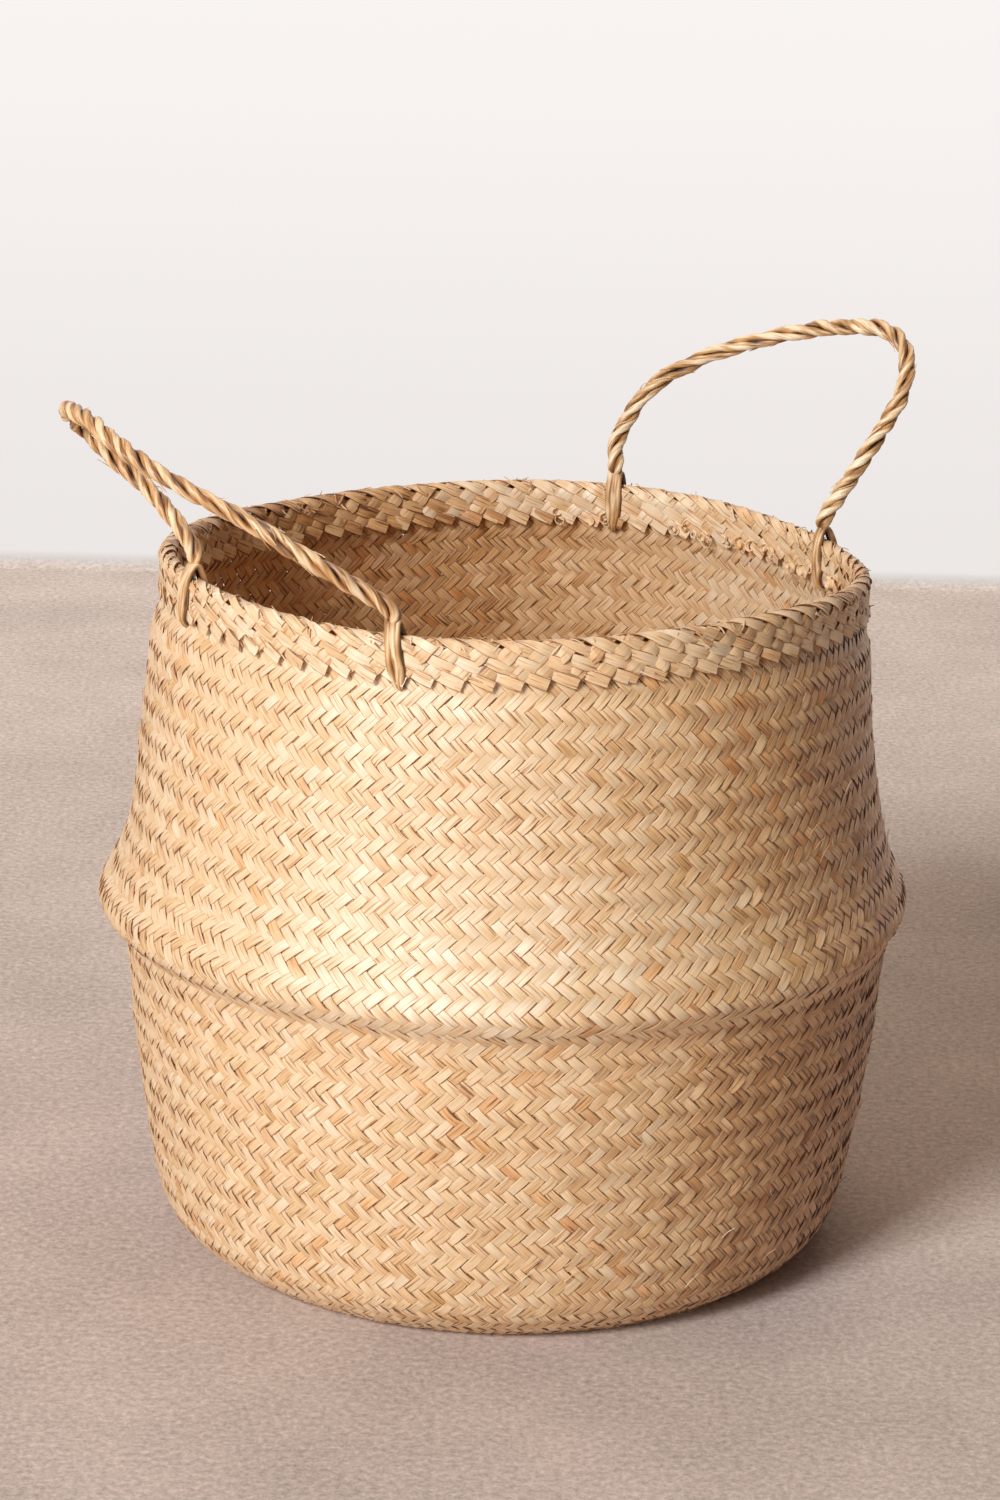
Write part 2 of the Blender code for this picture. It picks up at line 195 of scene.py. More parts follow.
def read_wall():
    """The wall's middle surface as (azimuth, step up the wall, radius and height)."""
    tree = solid_tree(WALL_NODES)
    columns = []
    for k in range(WALL_SOLIDS_AROUND):
        points = wall_middle(tree, math.tau * k / WALL_SOLIDS_AROUND)
        gaps = np.linalg.norm(np.diff(points, axis=0), axis=1)
        columns.append((points, np.concatenate([[0], np.cumsum(gaps)])))
    height = np.mean([lengths[-1] for _, lengths in columns])
    steps = int(round(height / WALL_STEP))
    table = np.zeros((WALL_SOLIDS_AROUND, steps + 1, 2))
    reach = int(round(3 * WALL_SMOOTHING / WALL_STEP))
    kernel = np.exp(-0.5 * (np.arange(-reach, reach + 1) * WALL_STEP / WALL_SMOOTHING) ** 2)
    kernel /= kernel.sum()
    for k, (points, lengths) in enumerate(columns):
        shares = np.linspace(0, lengths[-1], steps + 1)
        for axis in (0, 1):
            line = np.interp(shares, lengths, points[:, axis])
            ends = 2 * line[0] - line[reach:0:-1], 2 * line[-1] - line[-2 : -reach - 2 : -1]
            padded = np.concatenate([ends[0], line, ends[1]])
            table[k, :, axis] = np.convolve(padded, kernel, "valid")
    return table, height


WALL_TABLE, WALL_LENGTH = read_wall()


def look_up(table, azimuth, share):
    """Values of a table that goes round in azimuth, at this share of its other axis."""
    column = np.mod(azimuth / math.tau, 1) * table.shape[0]
    row = np.clip(share, 0, 1) * (table.shape[1] - 1)
    left = column.astype(int) % table.shape[0]
    low = np.minimum(row.astype(int), table.shape[1] - 2)
    across = (column - np.floor(column))[..., None]
    up = (row - low)[..., None]
    right = (left + 1) % table.shape[0]
    bottom = table[left, low] * (1 - across) + table[right, low] * across
    top = table[left, low + 1] * (1 - across) + table[right, low + 1] * across
    return bottom * (1 - up) + top * up


def beside(azimuth, middle, reach):
    """From 1 at one azimuth to 0 away from it."""
    turn = np.mod(azimuth - middle + math.pi, math.tau) - math.pi
    return np.exp(-((turn / reach) ** 2))


def mouth_swell(azimuth):
    """How far the mouth stands out of round, as seen at its left and its right."""
    left = beside(azimuth, math.radians(-175), 0.36)
    right = beside(azimuth, math.radians(-6), 0.38)
    return MM * (2.2 * left + 3.4 * right)


def hand_swell(azimuth, length):
    """How far the soft wall stands out of true, as hand work does."""
    share = length / WALL_LENGTH
    body = np.sin(math.pi * np.clip(share, 0, 1)) ** 0.7
    swell = 0.8 * np.sin(2 * azimuth + 0.6 + 3 * share) + 0.5 * np.sin(3 * azimuth + 5 * share)
    left = np.exp(-(((np.mod(azimuth, math.tau) - math.pi) / 0.7) ** 2))
    upper = smoothstep(share, 0.62, 0.78) * (1 - smoothstep(share, 0.9, 0.98))
    top = mouth_swell(azimuth) * smoothstep(share, 0.8, 0.95)
    return MM * (swell * body + 1.6 * left * upper) + top


def fold_lines(azimuth, length):
    """The sharper fold of the belly: out at the ridge, in at the crease under it."""
    plait = bpy.context.scene.basket_plait
    crease = np.exp(-(((length - plait.crease_length) / (4.5 * MM)) ** 2))
    ridge = np.exp(-(((length - plait.ridge_length) / (6.0 * MM)) ** 2))
    under = np.exp(-(((length - plait.under_length) / (8.0 * MM)) ** 2))
    left = beside(azimuth, math.radians(-175), 0.7)
    right = beside(azimuth, math.radians(-5), 0.6)
    sag = plait.under_sag * (left - 2.0 * right) * under
    return plait.ridge_out * ridge - plait.crease_in * crease + sag


def profile_at(azimuth, length):
    """(radius, height) of the wall's middle, with its swell and its folds."""
    radius, height = np.moveaxis(look_up(WALL_TABLE, azimuth, length / WALL_LENGTH), -1, 0)
    height = np.maximum(height, LOWEST_MIDDLE)
    return radius + hand_swell(azimuth, length) + fold_lines(azimuth, length), height


def wall_surface(azimuth, length):
    """Points and outward normals of the wall's middle surface."""
    radius, height = profile_at(azimuth, length)
    step = 1.5 * MM
    above = profile_at(azimuth, length + step)
    below = profile_at(azimuth, length - step)
    outward, up = above[0] - below[0], above[1] - below[1]
    x, y = np.cos(azimuth), np.sin(azimuth)
    place = np.stack([radius * x, radius * y, height], -1)
    return place, clean(np.stack([up * x, up * y, -outward], -1))


def read_ring(node):
    """Mean radius and height of a ring's section, for each azimuth of its facets."""
    places = np.array([v.co for v in frame["nodes"][node].data.vertices])
    azimuth = np.mod(np.arctan2(places[:, 1], places[:, 0]) / math.tau, 1)
    index = np.round(azimuth * WALL_SOLIDS_AROUND).astype(int) % WALL_SOLIDS_AROUND
    ring = np.zeros((WALL_SOLIDS_AROUND, 2))
    for k in range(WALL_SOLIDS_AROUND):
        own = places[index == k]
        radius = np.hypot(own[:, 0], own[:, 1])
        ring[k] = (radius.min() + radius.max()) / 2, (own[:, 2].min() + own[:, 2].max()) / 2
    return ring


RIM_RING = read_ring("rim_edge_braid")


def rim_centre(azimuth):
    """(radius, height) of the middle of the rim's edge."""
    column = np.mod(azimuth / math.tau, 1) * WALL_SOLIDS_AROUND
    left = column.astype(int) % WALL_SOLIDS_AROUND
    share = (column - np.floor(column))[..., None]
    ring = RIM_RING[left] * (1 - share) + RIM_RING[(left + 1) % WALL_SOLIDS_AROUND] * share
    radius, height = np.moveaxis(ring, -1, 0)
    return radius + mouth_swell(azimuth), height


def rim_surface(azimuth, length):
    """The rim's skin: up its outer side, over its edge and down its inner side."""
    radius, height = rim_centre(azimuth)
    bend = math.pi * RIM_HALF
    side = RIM_FOOT_DROP
    turn = np.clip((length - side) / bend, 0, 1) * math.pi
    drop = np.where(length < side, length - side, 0) - np.maximum(length - side - bend, 0)
    outward = np.cos(turn)
    place_radius = radius + RIM_HALF * outward
    place_height = height + RIM_HALF * np.sin(turn) + drop
    x, y = np.cos(azimuth), np.sin(azimuth)
    place = np.stack([place_radius * x, place_radius * y, place_height], -1)
    return place, clean(np.stack([outward * x, outward * y, np.sin(turn)], -1))


# Strips and strands as meshes


def strand(centre, across, up, outline, tone, tint, shade=STRAW_EDGE_PAINTED_SHADE):
    """One strand: its middle line, its two cross directions, its outline and its tones."""
    gaps = np.linalg.norm(np.diff(centre, axis=0), axis=1)
    along = np.concatenate([[0], np.cumsum(gaps)])
    # Painted shade round the section is added to the tone at each side
    tone = tone[:, None] + shade
    return {
        "centre": centre,
        "across": across,
        "up": up,
        "outline": outline,
        "tone": tone,
        "tint": tint,
        "along": along,
    }


def strip_outline(width, thickness):
    """The six-sided section of a flat straw at each of its points."""
    across = width[:, None] * STRAW_ACROSS
    up = thickness[:, None] * STRAW_UP
    return np.stack([across, up], -1)


def strand_faces(count, sides):
    """Quads of a closed strand, sides first and then both ends."""
    ring, side = np.meshgrid(np.arange(count - 1), np.arange(sides), indexing="ij")
    here = ring * sides + side
    after = ring * sides + (side + 1) % sides
    quads = np.stack([here, here + sides, after + sides, after], -1).reshape(-1, 4)
    fan = [(0, j, j + 1, j + 2) for j in range(1, sides - 2, 2)]
    start = np.array(fan)
    end = np.array(fan)[:, ::-1] + (count - 1) * sides
    return np.concatenate([quads, start, end])


def strand_maps(item, sides, row, rows, longest):
    """The strand's lay map in metres, and its strip of the bake map."""
    outline = item["outline"][0]
    edges = np.linalg.norm(np.roll(outline, -1, axis=0) - outline, axis=1)
    round_it = np.concatenate([[0], np.cumsum(edges)])
    count = len(item["centre"])
    ring, side = np.meshgrid(np.arange(count - 1), np.arange(sides), indexing="ij")
    here, after = item["along"][ring], item["along"][ring + 1]
    low, high = round_it[side], round_it[side + 1]
    u = np.stack([here, after, after, here], -1).reshape(-1)
    v = np.stack([low, low, high, high], -1).reshape(-1)
    caps = 2 * len(range(1, sides - 2, 2)) * 4
    u = np.concatenate([u, np.zeros(caps)])
    v = np.concatenate([v, np.zeros(caps)])
    lay = np.stack([u, v + row * 0.037], -1)
    share = 0.06 + 0.88 * v / round_it[-1]
    bake = np.stack([0.004 + 0.99 * u / longest, (row + share) / rows], -1)
    return lay, bake


def strand_mesh(name, strands, material, sharp=math.radians(32)):
    """One object of closed strands, with the maps and attributes that its material reads."""
    points, faces, lay, bake, tone, tint = [], [], [], [], [], []
    total = 0
    longest = max(item["along"][-1] for item in strands)
    for row, item in enumerate(strands):
        outline = item["outline"]
        count, sides = outline.shape[:2]
        ring = (
            item["centre"][:, None]
            + item["across"][:, None] * outline[..., :1]
            + item["up"][:, None] * outline[..., 1:]
        )
        points.append(ring.reshape(-1, 3))
        faces.append(strand_faces(count, sides) + total)
        maps = strand_maps(item, sides, row, len(strands), longest)
        lay.append(maps[0])
        bake.append(maps[1])
        tone.append(item["tone"].ravel())
        tint.append(np.full(count * sides, item["tint"]))
        total += count * sides
    mesh = bpy.data.meshes.new(name)
    mesh.from_pydata(np.concatenate(points).tolist(), [], np.concatenate(faces).tolist())
    for label, values in (("straw_lay", lay), ("OFBake", bake)):
        layer = mesh.uv_layers.new(name=label)
        layer.data.foreach_set("uv", np.concatenate(values).astype(np.float32).ravel())
    for label, values in (("tone", tone), ("tint", tint)):
        layer = mesh.attributes.new(label, "FLOAT", "POINT")
        layer.data.foreach_set("value", np.concatenate(values).astype(np.float32))
    mesh.materials.append(material)
    mesh.shade_smooth()
    mesh.set_sharp_from_angle(angle=sharp)
    piece = bpy.data.objects.new(name, mesh)
    bpy.context.scene.collection.objects.link(piece)
    return piece


# Materials


def add_node(tree, kind, settings=None, **inputs):
    """Adds a node, sets its properties and its sockets, and links those that are given as sockets."""
    made = tree.nodes.new(kind)
    for key, value in (settings or {}).items():
        setattr(made, key, value)
    for key, value in inputs.items():
        socket = made.inputs[int(key[1:])] if key[1:].isdigit() else made.inputs[key.replace("_", " ")]
        if isinstance(value, bpy.types.NodeSocket):
            tree.links.new(value, socket)
        else:
            socket.default_value = value
    return made


def colour_ramp(tree, factor, stops):
    ramp = add_node(tree, "ShaderNodeValToRGB", Fac=factor)
    elements = ramp.color_ramp.elements
    while len(elements) < len(stops):
        elements.new(0.5)
    for element, (place, colour) in zip(elements, stops):
        element.position = place
        element.color = linear(colour)
    return ramp.outputs["Color"]


def stretched_noise(tree, lay, along, across, detail=2.0):
    """Noise on the lay map with so many cells to the metre along a straw and across it."""
    mapped = add_node(tree, "ShaderNodeMapping", Vector=lay, Scale=(along, across, 1)).outputs[0]
    return add_node(tree, "ShaderNodeTexNoise", Vector=mapped, Scale=1.0, Detail=detail).outputs["Fac"]


def dry_seagrass(name, stops, roughness=0.5, streaks=0.6):
    """Dry seagrass: flat straw under a thin waxy skin, which gives it a broad pale sheen, with
    fibres and fine splits along it that catch the light as lines."""
    material = bpy.data.materials.new(name)
    material.use_nodes = True
    tree = material.node_tree
    shader = tree.nodes["Principled BSDF"]
    tone = add_node(tree, "ShaderNodeAttribute", {"attribute_name": "tone"}).outputs["Fac"]
    tint = add_node(tree, "ShaderNodeAttribute", {"attribute_name": "tint"}).outputs["Fac"]
    lay = add_node(tree, "ShaderNodeUVMap", {"uv_map": "straw_lay"}).outputs["UV"]
    # Fibres stand about 0.35 mm apart: drawn at 0.7 mm so that they show, with bands of 1.5 mm
    fibre = stretched_noise(tree, lay, 70, 1400, 3.0)
    band = stretched_noise(tree, lay, 25, 650)
    # A split every 2 to 3 mm, up to 20 mm long
    crack = stretched_noise(tree, lay, 45, 900)
    patch = stretched_noise(tree, lay, 60, 60)
    math_node = "ShaderNodeMath"
    multiply = {"operation": "MULTIPLY_ADD"}
    depth = add_node(tree, math_node, multiply, _0=fibre, _1=streaks, _2=tone).outputs[0]
    depth = add_node(tree, math_node, multiply, _0=band, _1=streaks, _2=depth).outputs[0]
    depth = add_node(tree, math_node, multiply, _0=patch, _1=0.3, _2=depth).outputs[0]
    level = -streaks - 0.15
    split = add_node(
        tree,
        "ShaderNodeMapRange",
        Value=crack,
        From_Min=0.35,
        From_Max=0.42,
        To_Min=level - 0.38,
        To_Max=level,
    )
    add = {"operation": "ADD", "use_clamp": True}
    depth = add_node(tree, math_node, add, _0=depth, _1=split.outputs[0]).outputs[0]
    base = colour_ramp(tree, depth, stops)
    cast = colour_ramp(
        tree, tint, ((0.0, "#F5EFDC"), (0.35, "#FFFFFF"), (0.65, "#FFFFFF"), (1.0, "#FFE9CF"))
    )
    mixed = add_node(
        tree,
        "ShaderNodeMix",
        {"data_type": "RGBA", "blend_type": "MULTIPLY"},
        _0=1.0,
        _6=base,
        _7=cast,
    )
    tree.links.new(mixed.outputs[2], shader.inputs["Base Color"])
    rough = add_node(tree, math_node, multiply, _0=fibre, _1=0.2, _2=roughness - 0.1).outputs[0]
    # The cut edges are duller than the flat of a straw
    dull = add_node(tree, "ShaderNodeMapRange", Value=tone, From_Min=-0.1, From_Max=0.3, To_Min=0.35, To_Max=0.0)
    rough = add_node(tree, math_node, {"operation": "ADD"}, _0=rough, _1=dull.outputs[0]).outputs[0]
    tree.links.new(rough, shader.inputs["Roughness"])
    shader.inputs["IOR"].default_value = 1.55
    shader.inputs["Specular IOR Level"].default_value = 0.6
    shader.inputs["Coat Weight"].default_value = 0.8
    shader.inputs["Coat Roughness"].default_value = 0.6
    shader.inputs["Coat IOR"].default_value = 1.6
    bump = add_node(tree, "ShaderNodeBump", Height=fibre, Strength=0.4, Distance=0.2 * MM)
    tree.links.new(bump.outputs[0], shader.inputs["Normal"])
    return material


def straw_material():
    colours = bpy.context.scene.basket_colours
    found = bpy.data.materials.get("plaited_seagrass")
    stops = (
        (0.0, colours.dark_straw_and_edge_shade),
        (0.3, colours.tan_straw),
        (0.6, colours.straw),
        (1.0, colours.pale_straw),
    )
    return found or dry_seagrass("plaited_seagrass", stops)


def rope_material():
    colours = bpy.context.scene.basket_colours
    found = bpy.data.materials.get("twisted_seagrass")
    stops = (
        (0.0, colours.rope_groove_shade),
        (0.35, colours.rope_shade),
        (0.65, colours.rope),
        (1.0, colours.pale_rope),
    )
    return found or dry_seagrass("twisted_seagrass", stops, 0.45, 0.9)


# Plait


def straw_traits(lean):
    """What each straw of one lean, and each of its floats, has of its own."""
    rng = np.random.default_rng(11 if lean > 0 else 29)
    count = bpy.context.scene.basket_plait.straws_around
    straws = {
        "tone": rng.normal(0.5, 0.035, count),
        "tint": rng.uniform(0.25, 0.75, count),
        "width": rng.uniform(0.98, 1.035, count),
        "shift": rng.normal(0, 0.03, count),
    }
    odd = rng.choice(count, count // 14, replace=False)
    straws["tone"][odd] -= rng.uniform(0.03, 0.09, len(odd))
    straws["tint"][odd] = rng.choice([0.08, 0.92], len(odd))
    floats = {
        "tone": rng.normal(0, 0.05, (count, FLOATS)),
        "lift": rng.normal(0, 0.14, (count, FLOATS)),
        "side": rng.normal(0, 0.12, (count, FLOATS)),
        "roll": rng.normal(0, math.radians(5), (count, FLOATS)),
        "width": rng.normal(0, 0.03, (count, FLOATS)),
    }
    dark = rng.random((count, FLOATS)) < 0.012
    floats["tone"][dark] -= rng.uniform(0.06, 0.18, np.count_nonzero(dark))
    return straws, floats


def float_values(values, rows):
    """A float's own value along it, and the mean of two floats where a straw passes between them."""
    place = (rows + CROSSING) / 2
    index = np.floor(place + 1e-6).astype(int) % FLOATS
    between = np.abs(place - np.round(place)) < 1e-3
    before = (index - 1) % FLOATS
    return np.where(between, (values[:, index] + values[:, before]) / 2, values[:, index])


def flat_wave(steps, lean):
    """A straw's height along it: 1 on top of two crossings, -1 under the next two, flat on each."""
    wave = np.cos(math.pi / 2 * (steps - CROSSING)) * (1 if lean > 0 else -1)
    return np.clip(wave * 1.31, -0.94, 0.94) + 0.06 * wave**3


def row_wave(azimuth, length):
    """How far the rows stray up and down round the wall."""
    inside = smoothstep(length, 0.0, 45 * MM) * smoothstep(WALL_LENGTH - length, 0.0, 45 * MM)
    wave = 1.0 * np.sin(2 * azimuth + 0.7) + 0.7 * np.sin(5 * azimuth + 2.1)
    fold_seam = FIRST_ROW_RISE + BELLY_ROWS[0] * bpy.context.scene.basket_plait.row_rise
    level = 1 - np.exp(-(((length - fold_seam) / (20 * MM)) ** 2))
    return MM * wave * inside * level


def painted_light_tone(azimuth, length):
    """Painted light and shade added to the straw's tone at places on the wall: paler where the key lamp falls, darker
    where the wall lies in shade.
    """
    low, belly, high = [np.interp(azimuth, PAINTED_LIGHT_ROUND[:, 0], own) for own in PAINTED_LIGHT_ROUND.T[1:]]
    above_crease = smoothstep(length, 172 * MM, 182 * MM)
    above_belly = smoothstep(length, 225 * MM, 275 * MM)
    return low + (belly - low) * above_crease + (high - belly) * above_belly


def wall_straws(rows, lean):
    """Strands of all straws of one lean between two rows of the wall's plait."""
    plait = bpy.context.scene.basket_plait
    pitch = math.tau / plait.straws_around
    straws, floats = straw_traits(lean)
    steps = np.arange(rows[0], rows[1] + CROSSING / 2, CROSSING)
    start = np.arange(plait.straws_around)[:, None]

    def on_wall(row):
        azimuth = (start + straws["shift"][:, None] + lean * row / 2) * pitch
        length = FIRST_ROW_RISE + row * plait.row_rise
        return wall_surface(azimuth, length + row_wave(azimuth, length))

    middle, outward = on_wall(steps[None])
    after, _ = on_wall(steps[None] + CROSSING / 2)
    before, _ = on_wall(steps[None] - CROSSING / 2)
    ahead = clean(after - before)
    sideways = clean(np.cross(outward, ahead))
    wave = flat_wave(steps, lean)
    lifted = np.abs(wave)
    radius = np.hypot(middle[..., 0], middle[..., 1])
    around = radius * pitch
    spacing = around * np.sin(np.arctan2(plait.row_rise, around / 2))
    lift = 1 + float_values(floats["lift"], steps)
    centre = middle + outward * (plait.depth * wave * lift)[..., None]
    centre += sideways * (MM * float_values(floats["side"], steps) * lifted)[..., None]
    roll = float_values(floats["roll"], steps) * lifted
    across = sideways * np.cos(roll)[..., None] + outward * np.sin(roll)[..., None]
    up = outward * np.cos(roll)[..., None] - sideways * np.sin(roll)[..., None]
    width = spacing * straws["width"][:, None] * (1 + float_values(floats["width"], steps))
    width *= 1 - plait.pinch * (1 - lifted)
    where = np.degrees(np.arctan2(middle[..., 1], middle[..., 0]))
    # Painted light and shade, by place round and up the wall
    painted_light = painted_light_tone(where, FIRST_ROW_RISE + steps * plait.row_rise)
    tone = straws["tone"][:, None] + float_values(floats["tone"], steps) + painted_light
    thickness = np.full(len(steps), plait.straw_thickness)
    return [
        strand(
            centre[k],
            across[k],
            up[k],
            strip_outline(width[k], thickness),
            tone[k],
            straws["tint"][k],
        )
        for k in range(plait.straws_around)
    ]


def mat_straws(lean):
    """Strands of one direction across the flat base, each cut where it meets the base's edge."""
    plait = bpy.context.scene.basket_plait
    rng = np.random.default_rng(5 if lean > 0 else 7)
    low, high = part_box("base_mat")
    limit = high.x + 1.0 * MM
    pitch = plait.mat_pitch
    count = int(limit / pitch)
    strands = []
    for i in range(-count, count + 1):
        half = math.sqrt(max(limit**2 - (i * pitch) ** 2, 0))
        last = int(half / pitch * 2)
        if last < 2:
            continue
        steps = np.arange(-last, last + 1) / 2
        offset = i if lean > 0 else -i
        wave = np.cos(math.pi / 2 * (steps * lean - offset * lean - CROSSING)) * lean
        along, side = steps * pitch, np.full(len(steps), i * pitch)
        x, y = (side, along) if lean > 0 else (along, side)
        turn = math.radians(38)
        px, py = x * math.cos(turn) - y * math.sin(turn), x * math.sin(turn) + y * math.cos(turn)
        height = (low.z + high.z) / 2 + plait.mat_depth * wave
        centre = np.stack([px, py, height], -1)
        ahead = np.gradient(centre, axis=0)
        up = np.broadcast_to(np.array((0.0, 0.0, 1.0)), centre.shape)
        across = clean(np.cross(up, ahead))
        width = pitch * rng.uniform(0.88, 1.0) * (1 - plait.pinch * (1 - np.abs(wave)))
        tone = np.full(len(steps), rng.normal(0.5, 0.1))
        outline = strip_outline(width, np.full(len(steps), plait.mat_thickness))
        strands.append(strand(centre, across, up, outline, tone, rng.uniform(0.1, 0.9)))
    return strands


# Rim


def rim_wave(steps, lean):
    """How high a rim straw stands at each row: 1 on top, -1 underneath."""
    rows = np.arange(RIM_ROWS + 1)
    over = np.array(RIM_OVER) * 2.0 - 1
    over = over if lean < 0 else -over
    whole = np.interp(steps, rows, over)
    return np.sin(whole * math.pi / 2)


def rim_place(start, rows, lean_share):
    """Middle, outward, ahead and sideways directions of a rim straw at each of its rows."""
    row_rise = (2 * RIM_FOOT_DROP + math.pi * RIM_HALF) / RIM_ROWS
    azimuth = (start + lean_share * rows) * math.tau / RIM_STRAWS
    middle, outward = rim_surface(azimuth, rows * row_rise)
    ahead = clean(np.gradient(middle, axis=0))
    return middle, outward, clean(np.cross(outward, ahead))


def rim_straws(rows, lean, width, lift, thickness):
    """Strands of one lean of the rim's wide plait between two of its rows."""
    rng = np.random.default_rng(41 if lean > 0 else 43)
    share = STEEP_LEAN_SHARE if lean > 0 else FLAT_LEAN_SHARE
    tones = rng.normal(0.56, 0.09, RIM_STRAWS)
    tints = rng.uniform(0.2, 0.8, RIM_STRAWS)
    shifts = rng.normal(0, 0.05, RIM_STRAWS)
    widths = rng.uniform(0.84, 1.08, RIM_STRAWS)
    lifts = rng.uniform(0.8, 1.3, (RIM_STRAWS, RIM_ROWS + 2))
    rolls = rng.normal(0, math.radians(8), (RIM_STRAWS, RIM_ROWS + 2))
    edge_loss = rng.uniform(0.05, 0.45, RIM_STRAWS)
    steps = np.arange(rows[0], rows[1] + 0.1, 0.2)
    strands = []
    for k in range(RIM_STRAWS):
        middle, outward, sideways = rim_place(k + shifts[k], steps, share)
        wave = rim_wave(steps, lean)
        high = lift * wave * np.interp(steps, np.arange(RIM_ROWS + 2), lifts[k])
        roll = np.interp(steps, np.arange(RIM_ROWS + 2), rolls[k])[:, None]
        across = sideways * np.cos(roll) + outward * np.sin(roll)
        up = outward * np.cos(roll) - sideways * np.sin(roll)
        centre = middle + outward * high[:, None]
        at_edge = np.exp(-(((steps - RIM_ROWS / 2) / 1.3) ** 2)) * (lean < 0)
        size = width * widths[k] * (0.9 + 0.1 * np.clip(wave, 0, 1)) * (1 - edge_loss[k] * at_edge)
        outline = strip_outline(size, np.full(len(steps), thickness))
        where = math.degrees(math.remainder((k + share * RIM_ROWS / 2) * math.tau / RIM_STRAWS, math.tau))
        # Painted light and shade, by place round the rim
        painted_light = np.interp(where, *np.transpose(RIM_PAINTED_LIGHT_ROUND))
        tone = tones[k] + painted_light + 0.06 * soft_noise(len(steps), RIM_ROWS, 200 + 2 * k + lean)
        strands.append(strand(centre, across, up, outline, tone, tints[k]))
    return strands


def rim_teeth(inner):
    """The folded straws' blunt ends, held in the lock row."""
    rng = np.random.default_rng(53 + inner)
    strands = []
    for k in range(RIM_STRAWS):
        tip = rng.uniform(-0.56, -0.36)
        steps = np.array([0.6, 0.4, 0.2, 0.0, -0.2, -0.35, tip])
        rise = np.array([0.0, 0.4, 0.7, 0.85, 0.95, 1.0, 1.05]) * MM * rng.uniform(0.6, 1.7)
        size = np.array([0.9, 0.97, 1.0, 1.0, 1.0, 1.0, 0.97]) * 6.0 * MM * rng.uniform(0.8, 1.12)
        thick = np.array([0.5, 0.55, 0.6, 0.6, 0.6, 0.6, 0.55]) * MM
        rows = RIM_ROWS - steps if inner else steps
        middle, outward, sideways = rim_place(k + rng.normal(0, 0.04), rows, FLAT_LEAN_SHARE)
        centre = middle + outward * rise[:, None]
        roll = rng.normal(0, math.radians(9))
        across = sideways * math.cos(roll) + outward * math.sin(roll)
        up = outward * math.cos(roll) - sideways * math.sin(roll)
        where = math.degrees(math.remainder(k * math.tau / RIM_STRAWS, math.tau))
        # Painted light and shade, by place round the rim
        painted_light = np.interp(where, *np.transpose(RIM_PAINTED_LIGHT_ROUND))
        tone = np.full(len(steps), rng.normal(0.54, 0.1) + painted_light)
        outline = strip_outline(size, thick)
        strands.append(strand(centre, across, up, outline, tone, rng.uniform(0.2, 0.8)))
    return strands


# Ropes


LEFT_ROUTE_SHARES = (
    (0.00, 0.00, 0.00),
    (-0.05, 0.03, 0.10),
    (-0.21, 0.04, 0.22),
    (-0.40, 0.08, 0.33),
    (-0.47, 0.15, 0.43),
    (-0.41, 0.28, 0.52),
    (-0.16, 0.42, 0.56),
    (0.09, 0.44, 0.48),
    (0.33, 0.41, 0.40),
    (0.54, 0.33, 0.32),
    (0.72, 0.25, 0.23),
    (0.88, 0.13, 0.12),
    (0.96, 0.05, 0.055),
    (1.00, 0.00, 0.00),
)
RIGHT_ROUTE_SHARES = (
    (0.00, 0.00, 0.00),
    (-0.04, 0.04, 0.08),
    (-0.02, 0.12, 0.22),
    (0.06, 0.18, 0.33),
    (0.28, 0.24, 0.46),
    (0.54, 0.30, 0.56),
    (0.80, 0.33, 0.63),
    (0.97, 0.34, 0.64),
    (1.08, 0.31, 0.58),
    (1.12, 0.25, 0.47),
    (1.09, 0.16, 0.30),
    (1.03, 0.06, 0.11),
    (1.00, 0.00, 0.00),
)


def smooth_route(places, step):
    """Evenly spaced points of a smooth curve through the places."""
    places = np.array(places)
    ends = np.concatenate([[2 * places[0] - places[1]], places, [2 * places[-1] - places[-2]]])
    out = []
    for a, b, c, d in zip(ends, ends[1:], ends[2:], ends[3:]):
        t1 = math.sqrt(np.linalg.norm(b - a))
        t2 = t1 + math.sqrt(np.linalg.norm(c - b))
        t3 = t2 + math.sqrt(np.linalg.norm(d - c))
        t = np.linspace(t1, t2, 24, endpoint=False)[:, None]
        ab = (a * (t1 - t) + b * t) / t1
        bc = (b * (t2 - t) + c * (t - t1)) / (t2 - t1)
        cd = (c * (t3 - t) + d * (t - t2)) / (t3 - t2)
        abc = (ab * (t2 - t) + bc * t) / t2
        bcd = (bc * (t3 - t) + cd * (t - t1)) / (t3 - t1)
        out.append((abc * (t2 - t) + bcd * (t - t1)) / (t2 - t1))
    line = np.concatenate([*out, places[-1:]])
    lengths = np.concatenate([[0], np.cumsum(np.linalg.norm(np.diff(line, axis=0), axis=1))])
    even = np.linspace(0, lengths[-1], int(lengths[-1] / step) + 1)
    return np.stack([np.interp(even, lengths, line[:, i]) for i in range(3)], -1), even


def carried_axes(line):
    """Two directions across a line that turn as little as they can along it."""
    ahead = clean(np.gradient(line, axis=0))
    first = np.cross(ahead[0], (0.3, 0.2, 1.0))
    across = [first / np.linalg.norm(first)]
    for direction in ahead[1:]:
        side = across[-1] - direction * (across[-1] @ direction)
        across.append(side / np.linalg.norm(side))
    across = np.array(across)
    return across, np.cross(ahead, across)


def ridge_heights(angle, drift):
    """From 1 on a folded straw's ridges to 0 in the folds between, for each point and side."""
    ridges = bpy.context.scene.basket_rope.ridges
    return np.abs(np.cos(ridges / 2 * (angle[None] + drift[:, None]))) ** 0.7


